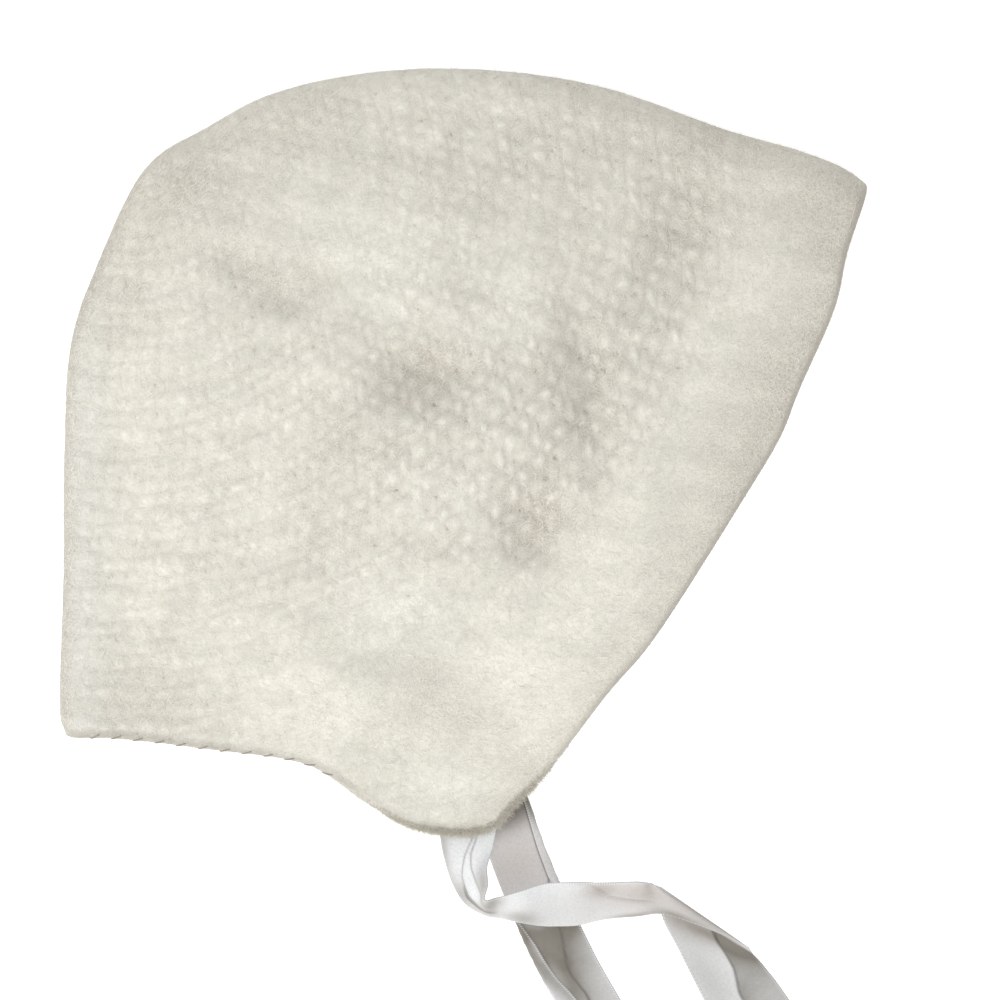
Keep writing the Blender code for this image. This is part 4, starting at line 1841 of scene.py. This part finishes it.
@dataclass
class RibbonTie:
    """One satin tie: a strip led through its stations, with its pleats, folds and creases."""

    name: str
    node: str
    stations: tuple[Station, ...]
    seat: float
    creases: tuple[Crease, ...]
    tones: tuple[Tone, ...]
    strips: tuple[FoldedStrip, ...]
    rests_on: tuple[str, ...]
    tip: np.ndarray
    base_shade: float = 0.0
    width: float = 15.9 * MM
    reach: float = 50 * MM
    plain_thickness: float = 1 * MM  # of the plain solid that it stands for
    cloth: float = 0.26 * MM
    settle: float = 0.3 * MM  # how much lower the thin cloth's middle lies
    steps: int = 8  # rows from station to station
    columns: int = 64
    line: float = 0.26 * MM  # half width of a crease's dark line, seen from above
    least_seen: float = 0.2  # of the width, where the tie stands on its edge
    crease_fade: float = 0.8  # stations over which a crease starts and ends
    over_floor: float = 0.6  # of the cloth's thickness, from the floor to its middle

    def edges(self) -> np.ndarray:
        """Both edges at each row.

        Returns:
            Six numbers a row: the outer edge's point and the inner edge's.
        """
        rows = []
        for station in self.stations:
            across, tilt = math.radians(station.across), math.radians(station.tilt)
            half = station.span * self.width / 2
            way = np.array([
                math.cos(across) * math.cos(tilt),
                math.sin(across) * math.cos(tilt),
                math.sin(tilt),
            ])
            height = self.plain_thickness / 2 + station.lift * self.seat + half * abs(way[2])
            middle = np.array([
                self.tip[0] + station.along * self.reach,
                self.tip[1] + station.up * self.reach,
                height - self.settle,
            ])
            rows.append(np.concatenate([middle - half * way, middle + half * way]))
        return smooth_line(np.array(rows), self.steps)

    def build(self, material: bpy.types.Material) -> bpy.types.Object:
        """Builds the tie.

        Args:
            material: Its finish.

        Returns:
            The tie.
        """
        edges = self.edges()
        outer, inner = edges[:, :3], edges[:, 3:]
        middle = (outer + inner) / 2
        ways = unit(inner - outer)
        half = np.linalg.norm(inner - outer, axis=1)[:, None] / 2
        facing = unit(np.cross(unit(np.gradient(middle, axis=0)), ways))
        number = (np.arange(len(edges)) / self.steps)[:, None]
        across = np.linspace(0, 1, self.columns + 1)[None]
        aside, lift = self.folded(number, across, half)
        seen = np.linalg.norm((inner - outer)[:, :2], axis=1)[:, None] / self.width
        height, dark, beside = self.creased(number, across, np.maximum(seen, self.least_seen))
        points = middle[:, None] + ways[:, None] * aside[..., None]
        points = points + facing[:, None] * (lift + height)[..., None]
        points[..., 2] = np.maximum(points[..., 2], self.cloth * self.over_floor)
        shade, warm = self.toned(number, across)
        shade = np.clip(shade + beside, 0, 1)
        index = np.arange(points[..., 0].size).reshape(points.shape[:2])
        measures = {"shade": shade.ravel(), "warm": warm.ravel(), "crease": dark.ravel()}
        faces = quads(index, False).tolist()
        tie = add_mesh(self.name, points.reshape(-1, 3), faces, material, measures)
        run = np.concatenate([[0.0], np.cumsum(np.linalg.norm(np.diff(middle, axis=0), axis=1))])
        self.mapped(tie, run, across[0])
        thickness = tie.modifiers.new("Cloth", "SOLIDIFY")
        thickness.thickness = self.cloth
        thickness.offset = 0.0
        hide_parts(self.node)
        tie.visible_shadow = False  # light passes through the thin satin
        LOG.info("%s: %.1f mm long", self.name, run[-1] / MM)
        return tie

    def folded(
        self,
        number: np.ndarray,
        across: np.ndarray,
        half: np.ndarray,
    ) -> tuple[np.ndarray, np.ndarray]:
        """Folds the edges over.

        Args:
            number: Station numbers of the rows.
            across: Shares across the ribbon.
            half: Half of each row's visible width.

        Returns:
            How far each point lies aside of the middle, and how far over it.
        """
        widths = {strip.inner: np.interp(number, *zip(*strip.widths)) for strip in self.strips}
        low = widths.get(False, np.zeros_like(number))
        high = widths.get(True, np.zeros_like(number))
        gap = self.strips[0].clearance if self.strips else 0.0
        flat = across * self.width
        stretch = 2 * half / (self.width - low - high)
        aside = (flat - low) * stretch - half
        under_low = np.maximum(low - flat, 0)
        over_high = np.maximum(flat - (self.width - high), 0)
        aside = np.where(under_low > 0, under_low - half, aside)
        aside = np.where(over_high > 0, half - over_high, aside)
        past = np.clip((under_low + over_high) / max(gap, MM / 10), 0, 1)
        return aside, gap * np.sqrt(1 - (1 - past) ** 2)

    def creased(
        self,
        number: np.ndarray,
        across: np.ndarray,
        seen: np.ndarray,
    ) -> tuple[np.ndarray, np.ndarray, np.ndarray]:
        """Presses the creases.

        Args:
            number: Station numbers of the rows.
            across: Shares across the ribbon.
            seen: How much of the width is seen from above in each row.

        Returns:
            The rise of each point, how much painted shade its crease line has, and how much painted shade
            the cloth beside it has.
        """
        rise = np.zeros((len(number), across.shape[1]))
        dark, beside = np.zeros_like(rise), np.zeros_like(rise)
        for crease in self.creases:
            at, share = zip(*crease.course)
            fade = eased((number - at[0]) / self.crease_fade) * eased((at[-1] - number) / self.crease_fade)
            offset = across - np.interp(number, at, share)
            line = bell(offset * self.width, crease.half_width)
            past = np.where(offset > 0, np.exp(-offset / crease.run), 0.0)
            rise += fade * (crease.rise * (1 - line) + crease.step * past)
            dark = np.maximum(dark, fade * crease.dark * bell(offset * self.width * seen, self.line))
            beside += fade * crease.shaded * eased(-offset * self.width * seen / self.line)
        return rise, dark, beside

    def toned(self, number: np.ndarray, across: np.ndarray) -> tuple[np.ndarray, np.ndarray]:
        """Works out the tones.

        Args:
            number: Station numbers of the rows.
            across: Shares across the ribbon.

        Returns:
            How much painted shade and painted warm light each point has, from 0 to 1.
        """
        shade = np.full((len(number), across.shape[1]), self.base_shade)
        warm = np.zeros_like(shade)
        for tone in self.tones:
            near = bell(number - tone.station, tone.half_stations)
            near = near * bell(across - tone.across, tone.half_across)
            shade = shade + near * tone.shade
            warm = warm + near * tone.warm
        return np.clip(shade, 0, 1), np.clip(warm, 0, 1)

    def mapped(self, tie: bpy.types.Object, run: np.ndarray, across: np.ndarray) -> None:
        """Gives the tie its own map.

        Args:
            tie: The tie.
            run: Metres along it at each row.
            across: Shares across it at each column.
        """
        data = tie.data
        corners = np.zeros(len(data.loops), np.int32)
        data.loops.foreach_get("vertex_index", corners)
        rows, columns = np.divmod(corners, len(across))
        course = data.uv_layers.new(name="course")
        course.data.foreach_set("uv", np.stack([run[rows], across[columns]], -1).astype(np.float32).ravel())


def upper_tie(tip: np.ndarray) -> RibbonTie:
    """The tie sewn inside the upper layer: pleated, turned on its edge and folded under itself.

    Args:
        tip: The tip of the ear flap, from above.

    Returns:
        The tie.
    """
    return RibbonTie(
        name="satin_tie_upper",
        node="ribbon_tie_upper",
        stations=UPPER_TIE,
        seat=4.6 * MM,
        creases=UPPER_CREASES,
        tones=UPPER_TONES,
        strips=(),
        rests_on=("satin_tie_lower", "felt_shell"),
        tip=tip,
        base_shade=0.07,
    )


def lower_tie(tip: np.ndarray) -> RibbonTie:
    """The tie sewn to the lower layer: straight, with an edge folded over on either side in turn.

    Args:
        tip: The tip of the ear flap, from above.

    Returns:
        The tie.
    """
    return RibbonTie(
        name="satin_tie_lower",
        node="ribbon_tie_lower",
        stations=LOWER_TIE,
        seat=3.3 * MM,
        creases=LOWER_CREASES,
        tones=LOWER_TONES,
        strips=LOWER_STRIPS,
        rests_on=("felt_shell",),
        tip=tip,
        base_shade=0.10,
    )


@dataclass
class Studio:
    """The pale floor, the soft light and the camera that looks straight down."""

    floor_size: float = 14.0
    camera_height: float = 1.6
    sight: float = 50.0  # how far the camera sees
    outline_height: float = 6.5 * MM  # where the bonnet is widest
    view_width: float = 217.4 * MM
    view_centre: tuple[float, float] = (13.2 * MM, -12.9 * MM)
    film: float = 36.0
    daylight: float = 0.84
    key_strength: float = 2.3
    key_from: tuple[float, float, float] = (-0.75, -0.85, 1.0)
    key_spread: float = 75.0  # degrees

    def build(self) -> None:
        """Sets up the floor, the light and the camera."""
        self.floor()
        self.light()
        self.camera()

    def floor(self) -> None:
        """Lays the floor."""
        half = self.floor_size / 2
        corners = np.array([[-half, -half, 0], [half, -half, 0], [half, half, 0], [-half, half, 0]])
        add_mesh("pale_floor", corners, [(0, 1, 2, 3)], PaleFloor().material())

    def light(self) -> None:
        """Fills the studio with daylight and adds the broad lamp."""
        scene = bpy.context.scene
        scene.view_settings.view_transform = "Standard"
        world = bpy.data.worlds.new("studio_daylight")
        world.use_nodes = True
        sky = world.node_tree.nodes["Background"]
        sky.inputs["Color"].default_value = (1.0, 1.0, 1.0, 1.0)
        sky.inputs["Strength"].default_value = self.daylight
        scene.world = world
        lamp = bpy.data.lights.new("soft_key", "SUN")
        lamp.energy = self.key_strength
        lamp.angle = math.radians(self.key_spread)
        key = bpy.data.objects.new("soft_key", lamp)
        key.rotation_euler = self.aimed(self.key_from)
        scene.collection.objects.link(key)

    def camera(self) -> None:
        """Hangs the camera over the bonnet."""
        scene = bpy.context.scene
        lens = bpy.data.cameras.new("camera_above")
        lens.sensor_width = self.film
        lens.lens = self.film * (self.camera_height - self.outline_height) / self.view_width
        lens.clip_end = self.sight
        camera = bpy.data.objects.new("camera_above", lens)
        camera.location = (*self.view_centre, self.camera_height)
        scene.collection.objects.link(camera)
        scene.camera = camera

    def aimed(self, source: tuple[float, float, float]) -> tuple[float, float, float]:
        """The turn of a lamp that shines from this side.

        Args:
            source: The direction that the light comes from.

        Returns:
            Its rotation.
        """
        x, y, z = source
        return (math.atan2(math.hypot(x, y), z), 0.0, math.atan2(y, x) + math.pi / 2)


def main() -> None:
    """Builds the studio, the bonnet, its hairs, its whipped edge and its ties."""
    logging.basicConfig(level=logging.INFO, format="%(name)s: %(message)s")
    Studio().build()
    bonnet = FeltedBonnet()
    bonnet.build()
    NeckWhipping(bonnet).build()
    WoolFuzz(bonnet).build()
    satin = SatinRibbon().material()
    tip = bonnet.form.plan_point(FLAP_TIP)
    lower_tie(tip).build(satin)
    upper_tie(tip).build(satin)


if __name__ == "__main__":
    main()
